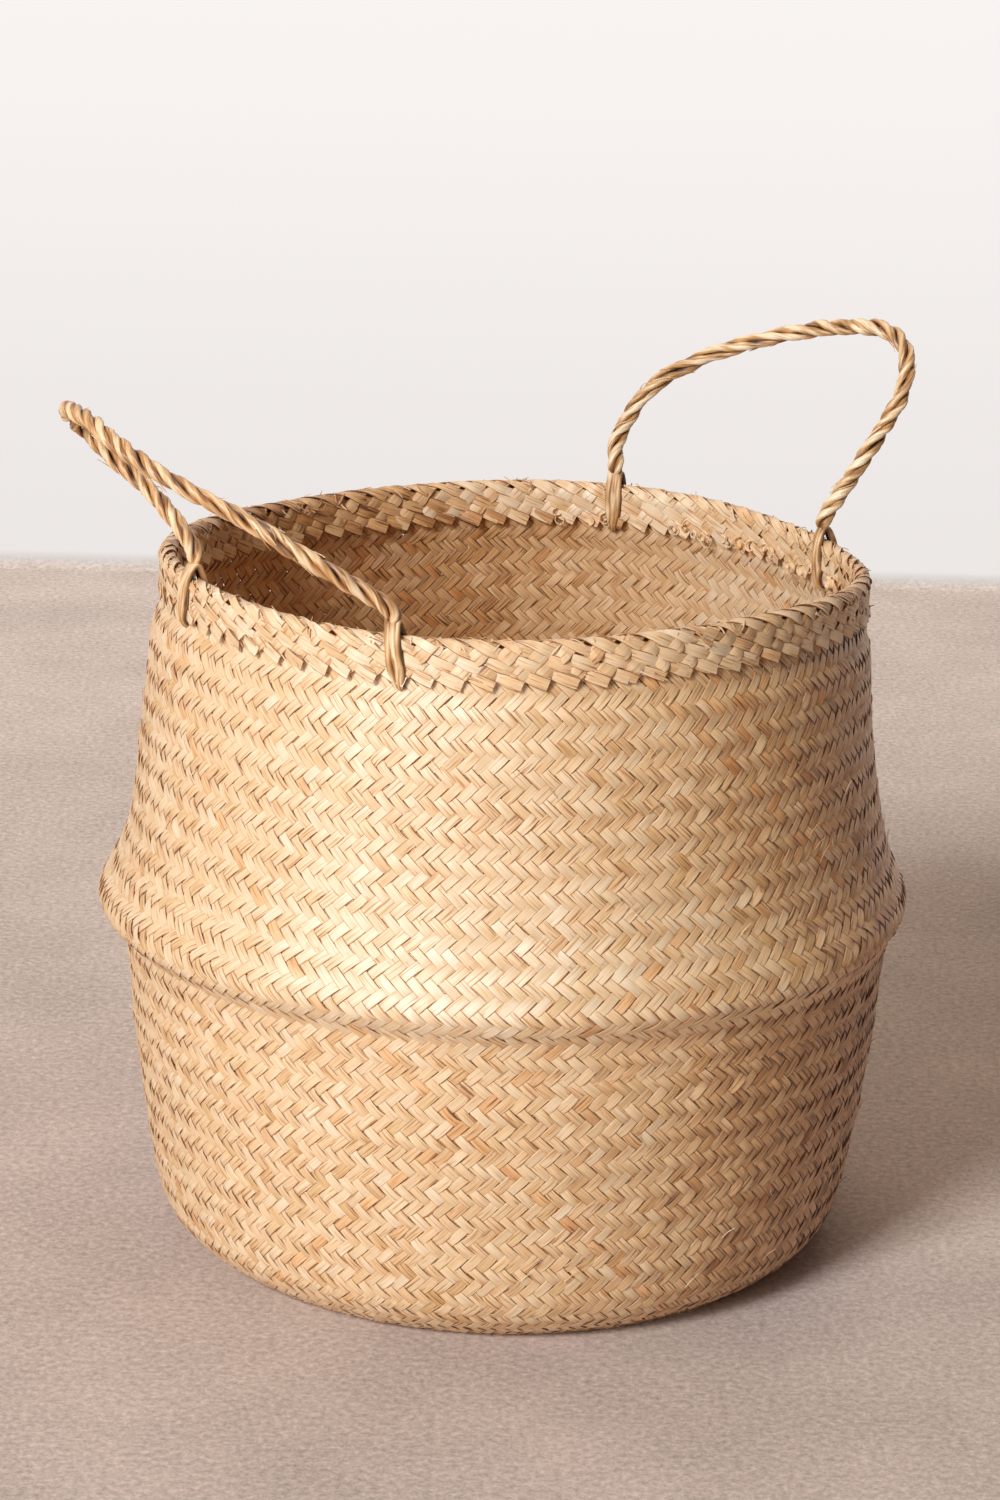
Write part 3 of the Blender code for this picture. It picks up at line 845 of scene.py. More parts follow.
def folded_outline(width, height, drift):
    """The section of a folded straw: an oval with a few ridges, which drift round it along it."""
    rope = bpy.context.scene.basket_rope
    angle = -np.arange(rope.strand_sides) * math.tau / rope.strand_sides
    ridge = ridge_heights(angle, drift)
    size = 0.5 * (1 - rope.ridge_depth + rope.ridge_depth * ridge)
    return np.stack([size * width[:, None] * np.cos(angle), size * height[:, None] * np.sin(angle)], -1)


def painted_groove_shade(depth, drift):
    """Painted shade round a rope's straw: pale outside, darker in its folds and dark in the grooves, where shade falls.
    """
    sides = bpy.context.scene.basket_rope.strand_sides
    angle = -np.arange(sides) * math.tau / sides
    return -depth * (1 - np.sin(angle)) - 0.2 * (1 - ridge_heights(angle, drift))


STRANDS_ROUND_SHARES = (0.0, 0.33, 0.67)


def laid_strands(line, lengths, axes, seed, drawn, flat=1.0, slack=1.0):
    """Folded straws, laid round each other, as thin as drawn says."""
    rope = bpy.context.scene.basket_rope
    rng = np.random.default_rng(seed)
    side, other = axes
    lay = rope.lay * slack * (1 + 0.26 * soft_noise(len(line), 6, seed + 1))
    turned = np.cumsum(math.tau * np.gradient(lengths) / lay)
    strands = []
    for k, share in enumerate(STRANDS_ROUND_SHARES):
        angle = turned + math.tau * share + 0.22 * soft_noise(len(line), 24, seed + 3 + k)
        out = side * np.cos(angle)[:, None] + other * (flat * np.sin(angle))[:, None]
        loose = 1 + 0.16 * soft_noise(len(line), 30, seed + 9 + k)
        offset = rope.strand_offset * drawn * loose
        middle = line + out * offset[:, None]
        ahead = clean(np.gradient(middle, axis=0))
        across = clean(np.cross(ahead, out))
        up = np.cross(across, ahead)
        swell = (0.3 + 0.7 * drawn) * (1 + 0.12 * soft_noise(len(line), 34, seed + 15 + k))
        drift = lengths * math.tau / rope.strand_lay + 2 * k
        height = rope.strand_height * swell * (0.4 + 0.6 * flat)
        outline = folded_outline(rope.strand_width * swell, height, drift)
        tone = 0.98 + 0.32 * soft_noise(len(line), 40, seed + 21 + k) + rng.normal(0, 0.05)
        tint = rng.uniform(0.45, 0.85)
        strands.append(strand(middle, across, up, outline, tone, tint, painted_groove_shade(0.52, drift)))
    return strands


def rope_strands(line, lengths, seed, loose):
    """A whole handle rope, rounded off at both ends and laid loosely over one span of it."""
    near_end = np.minimum(lengths, lengths[-1] - lengths)
    drawn = 0.45 + 0.55 * np.sqrt(np.clip(near_end / (3.5 * MM), 0, 1))
    axes = carried_axes(line)
    share = lengths / lengths[-1]
    span = smoothstep(share, loose[0], loose[0] + 0.08) * (1 - smoothstep(share, loose[1] - 0.08, loose[1]))
    strands = laid_strands(line, lengths, axes, seed, drawn, slack=1 + loose[2] * span)
    return strands + rope_splinters(line, *axes, seed + 30)


def rope_splinters(line, side, other, seed):
    """Thin split fibres that stand off a rope."""
    rng = np.random.default_rng(seed)
    rope = bpy.context.scene.basket_rope
    splinters = []
    for first in rng.integers(6, len(line) - 16, 26):
        count = int(rng.integers(5, 10))
        share = np.linspace(0, 1, count)
        own = slice(first, first + count)
        angle = rng.uniform(0, math.tau) + share * count * 1.3 * MM * math.tau / rope.lay * rng.uniform(0.3, 1)
        outward = side[own] * np.cos(angle)[:, None] + other[own] * np.sin(angle)[:, None]
        reach = rope.strand_offset + rope.strand_height * 0.46 + rng.uniform(0, 1.6) * MM * share**2
        centre = line[own] + outward * reach[:, None]
        across = clean(np.cross(outward, clean(np.gradient(centre, axis=0))))
        width = rng.uniform(0.5, 1.1) * MM * (1 - 0.7 * share)
        tone = np.full(count, rng.uniform(0.6, 1.0))
        outline = strip_outline(width, np.full(count, 0.3 * MM))
        splinters.append(strand(centre, across, outward, outline, tone, 0.6, FIBRE_EDGE_PAINTED_SHADE))
    return splinters


def handle_route(joint_name, back_strap, front_strap, shares):
    """The rope's middle line, from its hinge and its feet in the frame."""
    joint = next(j for j in frame["joints"] if j["name"] == joint_name)
    back = Vector(joint["pos_m"])
    low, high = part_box(front_strap)
    back_low, back_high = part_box(back_strap)
    centre = (low + high) / 2
    reach = math.hypot(back.x, back.y)
    flat = Vector((centre.x, centre.y, 0)).normalized() * reach
    front = Vector((flat.x, flat.y, high.z + back.z - back_high.z))
    span = (front - back).length
    along = (front - back).normalized()
    outward = Vector((back.x + front.x, back.y + front.y, 0))
    outward = (outward - along * outward.dot(along)).normalized()
    up = along.cross(outward)
    up *= math.copysign(1, up.z)
    side = outward.cross(up)
    facing = math.copysign(1, side.dot(along))
    places = [back + (side * facing * a + outward * b + up * c) * span for a, b, c in shares]
    tail = Vector((0, 0, -bpy.context.scene.basket_rope.tail))
    places = [places[0] + tail, *places, places[-1] + tail]
    return smooth_route(places, 1.3 * MM)


# How far each strap's foot stands aside of its head, counterclockwise round the rim
STRAP_LEANS = {
    "strap_left_back": -4.0 * MM,
    "strap_left_front": 5.0 * MM,
    "strap_right_back": 0.0,
    "strap_right_front": -5.0 * MM,
}


def strap_line(name):
    """The rope's way round the rim: out of the wall's hole, up over the edge and down again."""
    rope = bpy.context.scene.basket_rope
    low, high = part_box(name)
    centre = (low + high) / 2
    azimuth = math.atan2(centre.y, centre.x)
    radius = math.hypot(centre.x, centre.y)
    foot, head = low.z + 3.0 * MM, high.z + rope.strap_rise
    half = RIM_HALF + rope.strap_clear
    way_up = [
        (half * 0.55, foot),
        (half * 0.96, foot + 3.5 * MM),
        (half * 1.0, foot + 10 * MM),
        (half * 0.98, head - 11 * MM),
        (half * 0.8, head - 6.5 * MM),
        (half * 0.45, head - 2.4 * MM),
        (half * 0.22, head - 0.6 * MM),
    ]
    way_down = [(-out, height) for out, height in reversed(way_up)]
    places = [(0.0, foot - 0.4 * MM), *way_up, (0.0, head), *way_down, (0.0, foot - 0.4 * MM)]
    outward = np.array((math.cos(azimuth), math.sin(azimuth), 0.0))
    aside = np.array((-math.sin(azimuth), math.cos(azimuth), 0.0))
    radius += mouth_swell(azimuth)
    points = []
    for out, height in places:
        lean = STRAP_LEANS[name] * (head - height) / (head - foot)
        points.append(outward * (radius + out) + aside * lean + np.array((0, 0, height)))
    return (*smooth_route(points, 1.2 * MM), aside)


def strap_plies(name, seed):
    """The rope's plies, side by side where they strap the rim and drawn to a point in the hole."""
    rope = bpy.context.scene.basket_rope
    rng = np.random.default_rng(seed)
    line, lengths, aside = strap_line(name)
    out = clean(np.cross(aside, clean(np.gradient(line, axis=0))))
    near_end = np.minimum(lengths, lengths[-1] - lengths)
    drawn = 0.16 + 0.84 * smoothstep(near_end, -2 * MM, 15 * MM)
    plies = []
    for k, place in enumerate((-1, 0, 1)):
        stray = 0.3 * soft_noise(len(line), 6, seed + 1 + k)
        raised = 0.5 * MM * (1 - abs(place)) + 0.4 * MM * soft_noise(len(line), 7, seed + 5 + k)
        middle = line + aside * (rope.ply_step * (place + stray) * drawn)[:, None] + out * raised[:, None]
        ahead = clean(np.gradient(middle, axis=0))
        across = clean(np.cross(ahead, out))
        up = np.cross(across, ahead)
        swell = drawn * (1 + 0.12 * soft_noise(len(line), 12, seed + 9 + k))
        drift = lengths * math.tau / (3 * rope.strand_lay) + 2 * k
        outline = folded_outline(rope.ply_width * swell, rope.ply_height * (0.4 + 0.6 * drawn), drift)
        tone = 0.8 + 0.24 * soft_noise(len(line), 10, seed + 13 + k) + rng.normal(0, 0.06)
        tint = rng.uniform(0.45, 0.85)
        plies.append(strand(middle, across, up, outline, tone, tint, painted_groove_shade(0.45, drift)))
    return plies


# Loose fibres


def loose_fibres(count, lengths, seed):
    """Thin splinters that stand off the plait where a straw has split."""
    rng = np.random.default_rng(seed)
    strands = []
    for _ in range(count):
        azimuth = rng.uniform(0, math.tau)
        start = rng.uniform(*lengths)
        lean = rng.choice((-1, 1))
        reach = rng.uniform(5, 14) * MM
        steps = np.linspace(0, 1, 7)
        slope = lean * rng.uniform(0.7, 1.1)
        azimuths = azimuth + slope * reach * steps / 0.19 * 0.7
        middle, outward = wall_surface(azimuths, start + reach * steps * 0.7)
        lift = 1.3 * MM + rng.uniform(0.4, 3.2) * MM * steps**2
        centre = middle + outward * lift[:, None]
        ahead = clean(np.gradient(centre, axis=0))
        sideways = clean(np.cross(outward, ahead))
        width = rng.uniform(0.35, 0.9) * MM * (1 - 0.75 * steps)
        outline = strip_outline(width, np.full(len(steps), 0.25 * MM))
        tone = np.full(len(steps), rng.normal(0.7, 0.15))
        tint = rng.uniform(0.3, 0.9)
        strands.append(strand(centre, sideways, outward, outline, tone, tint, FIBRE_EDGE_PAINTED_SHADE))
    return strands


def rim_fibres(count, lengths, seed):
    """Frayed splinters along the folded edge, from where straws have cracked in the fold."""
    rng = np.random.default_rng(seed)
    strands = []
    for _ in range(count):
        azimuth = rng.uniform(0, math.tau)
        start = rng.uniform(*lengths)
        reach = rng.uniform(3, 10) * MM
        lean = rng.normal(-1.6, 0.9)
        steps = np.linspace(0, 1, 5)
        way = rng.choice((-1, 1)) * reach * steps
        middle, outward = rim_surface(azimuth + lean * way / RIM_REACH * 0.5, start + way * 0.5)
        lift = rng.uniform(0.7, 1.3) * MM + rng.uniform(0, 2.2) * MM * steps**2
        centre = middle + outward * lift[:, None]
        sideways = clean(np.cross(outward, clean(np.gradient(centre, axis=0))))
        width = rng.uniform(0.4, 1.5) * MM * (1 - 0.6 * steps)
        outline = strip_outline(width, np.full(len(steps), 0.3 * MM))
        tone = np.full(len(steps), rng.normal(0.6, 0.18))
        tint = rng.uniform(0.3, 0.8)
        strands.append(strand(centre, sideways, outward, outline, tone, tint, FIBRE_EDGE_PAINTED_SHADE))
    return strands


def curled_ends(count, seed):
    """Cut ends that have dried into curls along the inner lock row."""
    rng = np.random.default_rng(seed)
    foot = 2 * RIM_FOOT_DROP + math.pi * RIM_HALF
    down = np.array((0.0, 0.0, -1.0))
    strands = []
    for _ in range(count):
        azimuth = math.radians(rng.uniform(14, 84))
        turn = np.linspace(0, rng.uniform(3.2, 6.0), 16)
        share = turn / turn[-1]
        middle, outward = rim_surface(np.array([azimuth]), np.array([foot - rng.uniform(0, 5) * MM]))
        middle, outward = middle[0], outward[0]
        sideways = np.cross(down, outward) * rng.choice((-1, 1))
        radius = rng.uniform(1.8, 3.4) * MM * (1 - 0.4 * share)
        centre = middle + outward * (1.7 * MM + rng.uniform(0, 1.6) * MM * share)[:, None]
        centre += sideways * (radius * np.sin(turn))[:, None]
        centre += down * (radius[0] - radius * np.cos(turn))[:, None]
        across = np.broadcast_to(outward, centre.shape)
        up = clean(np.cross(across, clean(np.gradient(centre, axis=0))))
        up *= -1
        across = np.cross(clean(np.gradient(centre, axis=0)), up)
        width = rng.uniform(1.6, 3.4) * MM * (1 - 0.3 * share)
        outline = strip_outline(width, np.full(len(turn), 0.45 * MM))
        tone = np.full(len(turn), rng.normal(0.8, 0.12))
        tint = rng.uniform(0.3, 0.8)
        strands.append(strand(centre, across, up, outline, tone, tint, FIBRE_EDGE_PAINTED_SHADE))
    return strands


# Settings


class PlaitSettings(bpy.types.PropertyGroup):
    """Sizes of the plaited body"""

    straws_around: bpy.props.IntProperty(
        name="Straws around", description="Straws of each lean round the wall", default=160, min=24
    )
    row_rise: bpy.props.FloatProperty(
        name="Row rise",
        description="Length up the wall from one row of crossings to the next",
        default=3.49 * MM,
        unit="LENGTH",
        precision=5,
    )
    straw_thickness: bpy.props.FloatProperty(
        name="Straw thickness", description="Of a wall straw", default=0.6 * MM, unit="LENGTH", precision=5
    )
    depth: bpy.props.FloatProperty(
        name="Float depth",
        description="How far a straw's middle goes out and in of the wall's middle",
        default=0.56 * MM,
        unit="LENGTH",
        precision=5,
    )
    pinch: bpy.props.FloatProperty(
        name="Pinch", description="Share of its width that a straw loses where it dives", default=0.01
    )
    crease_length: bpy.props.FloatProperty(
        name="Crease place",
        description="Length up the wall to the crease under the belly",
        default=175.0 * MM,
        unit="LENGTH",
        precision=5,
    )
    crease_in: bpy.props.FloatProperty(
        name="Crease depth", description="How far the crease goes in", default=0.9 * MM, unit="LENGTH", precision=5
    )
    ridge_length: bpy.props.FloatProperty(
        name="Ridge place",
        description="Length up the wall to the belly's ridge",
        default=192.0 * MM,
        unit="LENGTH",
        precision=5,
    )
    ridge_out: bpy.props.FloatProperty(
        name="Ridge reach", description="How far the ridge stands out", default=0.8 * MM, unit="LENGTH", precision=5
    )
    under_length: bpy.props.FloatProperty(
        name="Underside place",
        description="Length up the wall to the belly's underside",
        default=187.0 * MM,
        unit="LENGTH",
        precision=5,
    )
    under_sag: bpy.props.FloatProperty(
        name="Underside sag",
        description="How much fuller the belly's underside is at the left",
        default=2.4 * MM,
        unit="LENGTH",
        precision=5,
    )
    mat_pitch: bpy.props.FloatProperty(
        name="Base straw pitch", description="Between straws of the base", default=5.3 * MM, unit="LENGTH", precision=5
    )
    mat_depth: bpy.props.FloatProperty(
        name="Base float depth", description="Out and in of the base's middle", default=0.5 * MM, unit="LENGTH", precision=5
    )
    mat_thickness: bpy.props.FloatProperty(
        name="Base straw thickness", description="Of a base straw", default=0.7 * MM, unit="LENGTH", precision=5
    )


class RopeSettings(bpy.types.PropertyGroup):
    """Sizes of the rope handles and their straps"""

    lay: bpy.props.FloatProperty(
        name="Lay", description="Length of one full turn of the rope", default=34.0 * MM, unit="LENGTH", precision=5
    )
    strand_lay: bpy.props.FloatProperty(
        name="Strand lay", description="Length of one full turn of a strand", default=45.0 * MM, unit="LENGTH", precision=5
    )
    strand_width: bpy.props.FloatProperty(
        name="Strand width", description="Of a folded straw, round the rope", default=4.6 * MM, unit="LENGTH", precision=5
    )
    strand_height: bpy.props.FloatProperty(
        name="Strand height", description="Of a folded straw, out of the rope", default=4.2 * MM, unit="LENGTH", precision=5
    )
    strand_offset: bpy.props.FloatProperty(
        name="Strand offset", description="From the rope's middle to a straw's", default=2.35 * MM, unit="LENGTH", precision=5
    )
    tail: bpy.props.FloatProperty(
        name="Tail", description="How far the rope goes past its hinge line", default=3.5 * MM, unit="LENGTH", precision=5
    )
    strand_sides: bpy.props.IntProperty(name="Strand sides", description="Sides of a straw's section", default=14, min=6)
    ridges: bpy.props.IntProperty(name="Ridges", description="Ridges round a folded straw", default=3, min=1)
    ridge_depth: bpy.props.FloatProperty(name="Ridge depth", description="As a share of the straw's size", default=0.24)
    ply_width: bpy.props.FloatProperty(
        name="Ply width", description="Of a ply in a strap", default=3.7 * MM, unit="LENGTH", precision=5
    )
    ply_height: bpy.props.FloatProperty(
        name="Ply height", description="Of a ply in a strap", default=3.0 * MM, unit="LENGTH", precision=5
    )
    ply_step: bpy.props.FloatProperty(
        name="Ply step", description="From ply to ply in a strap", default=2.5 * MM, unit="LENGTH", precision=5
    )
    strap_clear: bpy.props.FloatProperty(
        name="Strap clearance", description="From the rim's skin to the strap's middle", default=1.9 * MM, unit="LENGTH", precision=5
    )
    strap_rise: bpy.props.FloatProperty(
        name="Strap rise", description="How far the strap stands up round the rope's end", default=1.8 * MM, unit="LENGTH", precision=5
    )


class ColourSettings(bpy.types.PropertyGroup):
    """Colours of the straw and of the stage, as sRGB hex values"""

    pale_straw: bpy.props.StringProperty(name="Pale straw", description="Bleached straw", default="#F7E6CB")
    straw: bpy.props.StringProperty(name="Straw", description="Most of the straw", default="#EAC494")
    tan_straw: bpy.props.StringProperty(name="Tan straw", description="Browner straw", default="#CE955A")
    # Darkest straw: in splits and darker straws, and the painted shade at each straw's edges
    dark_straw_and_edge_shade: bpy.props.StringProperty(name="Dark straw", description="Stained straw", default="#663C1A")
    pale_rope: bpy.props.StringProperty(name="Pale rope", description="Bleached rope", default="#FAE4C0")
    rope: bpy.props.StringProperty(name="Rope", description="Most of the rope", default="#D6A76C")
    # Reached mostly through the painted shade at the sides of the rope's straws
    rope_shade: bpy.props.StringProperty(name="Rope shade", description="Browner rope", default="#A8763F")
    # Painted shade in the grooves between the rope's straws
    rope_groove_shade: bpy.props.StringProperty(name="Rope groove", description="Between its straws", default="#5A3818")
    floor: bpy.props.StringProperty(name="Floor", description="Plain smooth floor", default="#CFC0B8")
    backdrop: bpy.props.StringProperty(name="Backdrop", description="Plain wall", default="#F9F4F1")
    ambience: bpy.props.StringProperty(name="Ambience", description="Light from the room", default="#FFD3A6")


# Operators


def dress(piece, body, slot, *nodes):
    """Ties a finished piece to its body and hides the nodes that it stands for; its slot is not used."""
    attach(piece, body)
    if nodes:
        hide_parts(*nodes)


class PlaitBase(bpy.types.Operator):
    """Plaits the flat base and its turned-up edge"""

    bl_idname = "basket.plait_base"
    bl_label = "Plait base"

    def execute(self, context):
        straw = straw_material()
        mat = strand_mesh("base_mat_straws", mat_straws(1) + mat_straws(-1), straw)
        dress(mat, "lower_body", "seagrass_base", "base_mat")
        edge = wall_straws(BASE_EDGE_ROWS, 1) + wall_straws(BASE_EDGE_ROWS, -1)
        edge = strand_mesh("base_edge_straws", edge, straw)
        dress(edge, "lower_body", "seagrass_base", "base_edge")
        return {"FINISHED"}


class PlaitWall(bpy.types.Operator):
    """Plaits the lower and the upper wall, one piece for each lean of the straws"""

    bl_idname = "basket.plait_wall"
    bl_label = "Plait wall"

    def execute(self, context):
        straw = straw_material()
        for node, rows, body in (
            ("lower_wall", LOWER_WALL_ROWS, "lower_body"),
            ("upper_wall", UPPER_WALL_ROWS, "upper_body"),
        ):
            for lean, word in ((1, "right"), (-1, "left")):
                piece = strand_mesh(f"{node}_straws_up_{word}", wall_straws(rows, lean), straw)
                dress(piece, body, "seagrass_wall", node)
        return {"FINISHED"}


class PlaitBelly(bpy.types.Operator):
    """Plaits the soft belly, which folds flat between the two walls"""

    bl_idname = "basket.plait_belly"
    bl_label = "Plait belly"

    def execute(self, context):
        straws = wall_straws(BELLY_ROWS, 1) + wall_straws(BELLY_ROWS, -1)
        piece = strand_mesh("belly_straws", straws, straw_material())
        dress(piece, "upper_body", "seagrass_belly", "belly_band")
        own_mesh(piece)
        return {"FINISHED"}


class PlaitRim(bpy.types.Operator):
    """Plaits the wide folded rim and the blunt ends in its lock rows"""

    bl_idname = "basket.plait_rim"
    bl_label = "Plait rim"

    def execute(self, context):
        straw = straw_material()
        for name, rows, node in (
            ("rim_outer_straws", (-0.25, 3.5), "rim_band_outer"),
            ("rim_edge_straws", (3.5, 6.5), "rim_edge_braid"),
            ("rim_inner_straws", (6.5, 10.25), "rim_band_inner"),
        ):
            flat = rim_straws(rows, -1, 6.2 * MM, 0.6 * MM, 0.6 * MM)
            steep = rim_straws(rows, 1, 8.4 * MM, 0.4 * MM, 0.6 * MM)
            piece = strand_mesh(name, flat + steep, straw)
            dress(piece, "upper_body", "seagrass_rim", node)
        for side, inner in (("outer", 0), ("inner", 1)):
            piece = strand_mesh(f"lock_row_{side}_ends", rim_teeth(inner), straw)
            dress(piece, "upper_body", "seagrass_lock", f"lock_row_{side}")
        return {"FINISHED"}


class LayHandles(bpy.types.Operator):
    """Lays the two rope handles"""

    bl_idname = "basket.lay_handles"
    bl_label = "Lay handles"

    def execute(self, context):
        for side, shares, seed, loose in (
            ("left", LEFT_ROUTE_SHARES, 61, (0.62, 0.9, 0.35)),
            ("right", RIGHT_ROUTE_SHARES, 67, (0.1, 0.52, 1.0)),
        ):
            line, lengths = handle_route(
                f"handle_{side}_swing", f"strap_{side}_back", f"strap_{side}_front", shares
            )
            piece = strand_mesh(f"handle_{side}_strands", rope_strands(line, lengths, seed, loose), rope_material(), math.radians(75))
            dress(piece, f"handle_{side}", "seagrass_rope", f"handle_{side}_rope")
        return {"FINISHED"}


class TieStraps(bpy.types.Operator):
    """Ties each rope end round the rim and through its hole"""

    bl_idname = "basket.tie_straps"
    bl_label = "Tie straps"

    def execute(self, context):
        names = [f"strap_{side}_{end}" for side in ("left", "right") for end in ("back", "front")]
        for k, name in enumerate(names):
            piece = strand_mesh(f"{name}_plies", strap_plies(name, 71 + 3 * k), rope_material(), math.radians(75))
            dress(piece, "upper_body", "seagrass_rope", name)
        return {"FINISHED"}


class RaiseFibres(bpy.types.Operator):
    """Raises the thin fibres that stand off the plait"""

    bl_idname = "basket.raise_fibres"
    bl_label = "Raise fibres"

    def execute(self, context):
        plait = context.scene.basket_plait
        for name, rows, body, count in (
            ("lower_loose_fibres", LOWER_WALL_ROWS, "lower_body", 70),
            ("upper_loose_fibres", UPPER_WALL_ROWS, "upper_body", 90),
        ):
            span = [FIRST_ROW_RISE + row * plait.row_rise for row in (rows[0] + 1, rows[1] - 6)]
            piece = strand_mesh(name, loose_fibres(count, span, 83 + count), straw_material())
            dress(piece, body, "seagrass_wall")
        fold = RIM_FOOT_DROP + math.pi * RIM_HALF / 2
        splinters = rim_fibres(320, (fold - 6 * MM, fold + 6 * MM), 97) + rim_fibres(60, (0, 3 * MM), 101)
        splinters += curled_ends(26, 107)
        piece = strand_mesh("rim_loose_fibres", splinters, straw_material())
        dress(piece, "upper_body", "seagrass_rim")
        return {"FINISHED"}


# Stage, from the photograph's fitted camera and the edges of the shadow in it
CAMERA_DISTANCE = 2.0375
CAMERA_HEIGHT = 0.851
CAMERA_ASIDE = -0.0045
CAMERA_PITCH = math.radians(16.5)
CAMERA_ROLL = math.radians(1.4)
FOCAL_PIXELS = 4300.0
PHOTO_HEIGHT = 1500.0
SENSOR = 36.0
BACKDROP_BEHIND = 1.34
BACKDROP_GLOW_SHARE = 0.4
COVE_RADIUS = 0.03
STAGE_HALF = 5.0
KEY_ASIDE = math.radians(32)
KEY_RISE = math.radians(31)
KEY_DISTANCE = 6.0
KEY_SIZE = 1.6
KEY_POWER = 288.0
TOP_SIZE = 1.6
TOP_POWER = 16.0
LOW_RISE = math.radians(9)
LOW_DISTANCE = 4.0
LOW_SIZE = 1.5
LOW_POWER = 36.0
WORLD_STRENGTH = 0.055


def studio_plaster(floor_colour, backdrop_colour):
    """Trowelled plaster: a matt floor with faint clouds, and above it a pale plain backdrop."""
    material = bpy.data.materials.new("studio_plaster")
    material.use_nodes = True
    tree = material.node_tree
    shader = tree.nodes["Principled BSDF"]
    place = add_node(tree, "ShaderNodeTexCoord").outputs["Object"]
    cloud = add_node(tree, "ShaderNodeTexNoise", Vector=place, Scale=7.0, Detail=7.0, Roughness=0.62)
    grain = add_node(tree, "ShaderNodeTexNoise", Vector=place, Scale=260.0, Detail=6.0, Roughness=0.85)
    faint = add_node(tree, "ShaderNodeMath", {"operation": "MULTIPLY"}, _0=cloud.outputs["Fac"], _1=0.16)
    mottle = add_node(
        tree, "ShaderNodeMath", {"operation": "MULTIPLY_ADD"}, _0=grain.outputs["Fac"], _1=0.6, _2=faint.outputs[0]
    )
    ramp = add_node(tree, "ShaderNodeValToRGB", Fac=mottle.outputs[0])
    base = np.array(linear(floor_colour)[:3])
    for element, (spot, share) in zip(ramp.color_ramp.elements, ((0.2, 0.28), (0.56, 1.62))):
        element.position = spot
        element.color = (*(base * share), 1)
    height = add_node(tree, "ShaderNodeSeparateXYZ", Vector=place).outputs["Z"]
    rise = add_node(
        tree, "ShaderNodeMapRange", {"interpolation_type": "SMOOTHSTEP"}, Value=height, From_Min=0.0, From_Max=0.012
    )
    # Painted light: the floor is painted paler towards the wall
    depth = add_node(tree, "ShaderNodeSeparateXYZ", Vector=place).outputs["Y"]
    far_painted_light = add_node(tree, "ShaderNodeMapRange", Value=depth, From_Min=0.15, From_Max=1.25)
    paler = add_node(
        tree,
        "ShaderNodeMix",
        {"data_type": "RGBA"},
        _0=far_painted_light.outputs[0],
        _6=(1, 1, 1, 1),
        _7=(1.48, 1.56, 1.6, 1),
    )
    floor = add_node(
        tree, "ShaderNodeVectorMath", {"operation": "MULTIPLY"}, _0=ramp.outputs["Color"], _1=paler.outputs[2]
    )
    mixed = add_node(
        tree,
        "ShaderNodeMix",
        {"data_type": "RGBA"},
        _0=rise.outputs[0],
        _6=floor.outputs[0],
        _7=(*(np.array(linear(backdrop_colour)[:3]) * BACKDROP_GLOW_SHARE), 1),
    )
    tree.links.new(mixed.outputs[2], shader.inputs["Base Color"])
    shader.inputs["Roughness"].default_value = 0.8
    path = add_node(tree, "ShaderNodeLightPath")
    largest = {"operation": "MAXIMUM"}
    seen = add_node(tree, "ShaderNodeMath", largest, _0=path.outputs["Is Camera Ray"], _1=path.outputs["Is Glossy Ray"])
    seen = add_node(tree, "ShaderNodeMath", largest, _0=seen.outputs[0], _1=path.outputs["Is Transmission Ray"])
    shown = add_node(tree, "ShaderNodeMath", {"operation": "MULTIPLY"}, _0=seen.outputs[0], _1=rise.outputs[0])
    # Painted shade: the backdrop's glow is darker towards its foot
    foot_painted_shade = add_node(
        tree, "ShaderNodeMapRange", {"interpolation_type": "SMOOTHSTEP"}, Value=height, From_Min=0.0, From_Max=0.5
    )
    shade = np.array(linear(backdrop_colour)[:3]) * 0.89
    cast = add_node(
        tree, "ShaderNodeMix", {"data_type": "RGBA"}, _0=foot_painted_shade.outputs[0], _6=(*shade, 1), _7=linear(backdrop_colour)
    )
    glow = add_node(tree, "ShaderNodeEmission", Color=cast.outputs[2], Strength=1.0)
    mix = add_node(tree, "ShaderNodeMixShader", _0=shown.outputs[0], _1=shader.outputs[0], _2=glow.outputs[0])
    # From behind, the sheet is clear, so that it never hides the basket
    behind = add_node(tree, "ShaderNodeNewGeometry").outputs["Backfacing"]
    clear = add_node(tree, "ShaderNodeBsdfTransparent")
    one_way = add_node(tree, "ShaderNodeMixShader", _0=behind, _1=mix.outputs[0], _2=clear.outputs[0])
    tree.links.new(one_way.outputs[0], tree.nodes["Material Output"].inputs["Surface"])
    return material


def light_arm(rise, distance):
    """From the basket's middle to a light at the key's side."""
    flat = distance * math.cos(rise)
    return Vector((-flat * math.sin(KEY_ASIDE), -flat * math.cos(KEY_ASIDE), distance * math.sin(rise)))


def soft_light(name, place, target, size, power, colour="#FFFFFF"):
    """A square softbox that faces its target."""
    data = bpy.data.lights.new(name, "AREA")
    data.size = size
    data.energy = power
    data.color = linear(colour)[:3]
    light = bpy.data.objects.new(name, data)
    light.location = place
    light.rotation_euler = (target - place).to_track_quat("-Z", "Y").to_euler()
    bpy.context.scene.collection.objects.link(light)


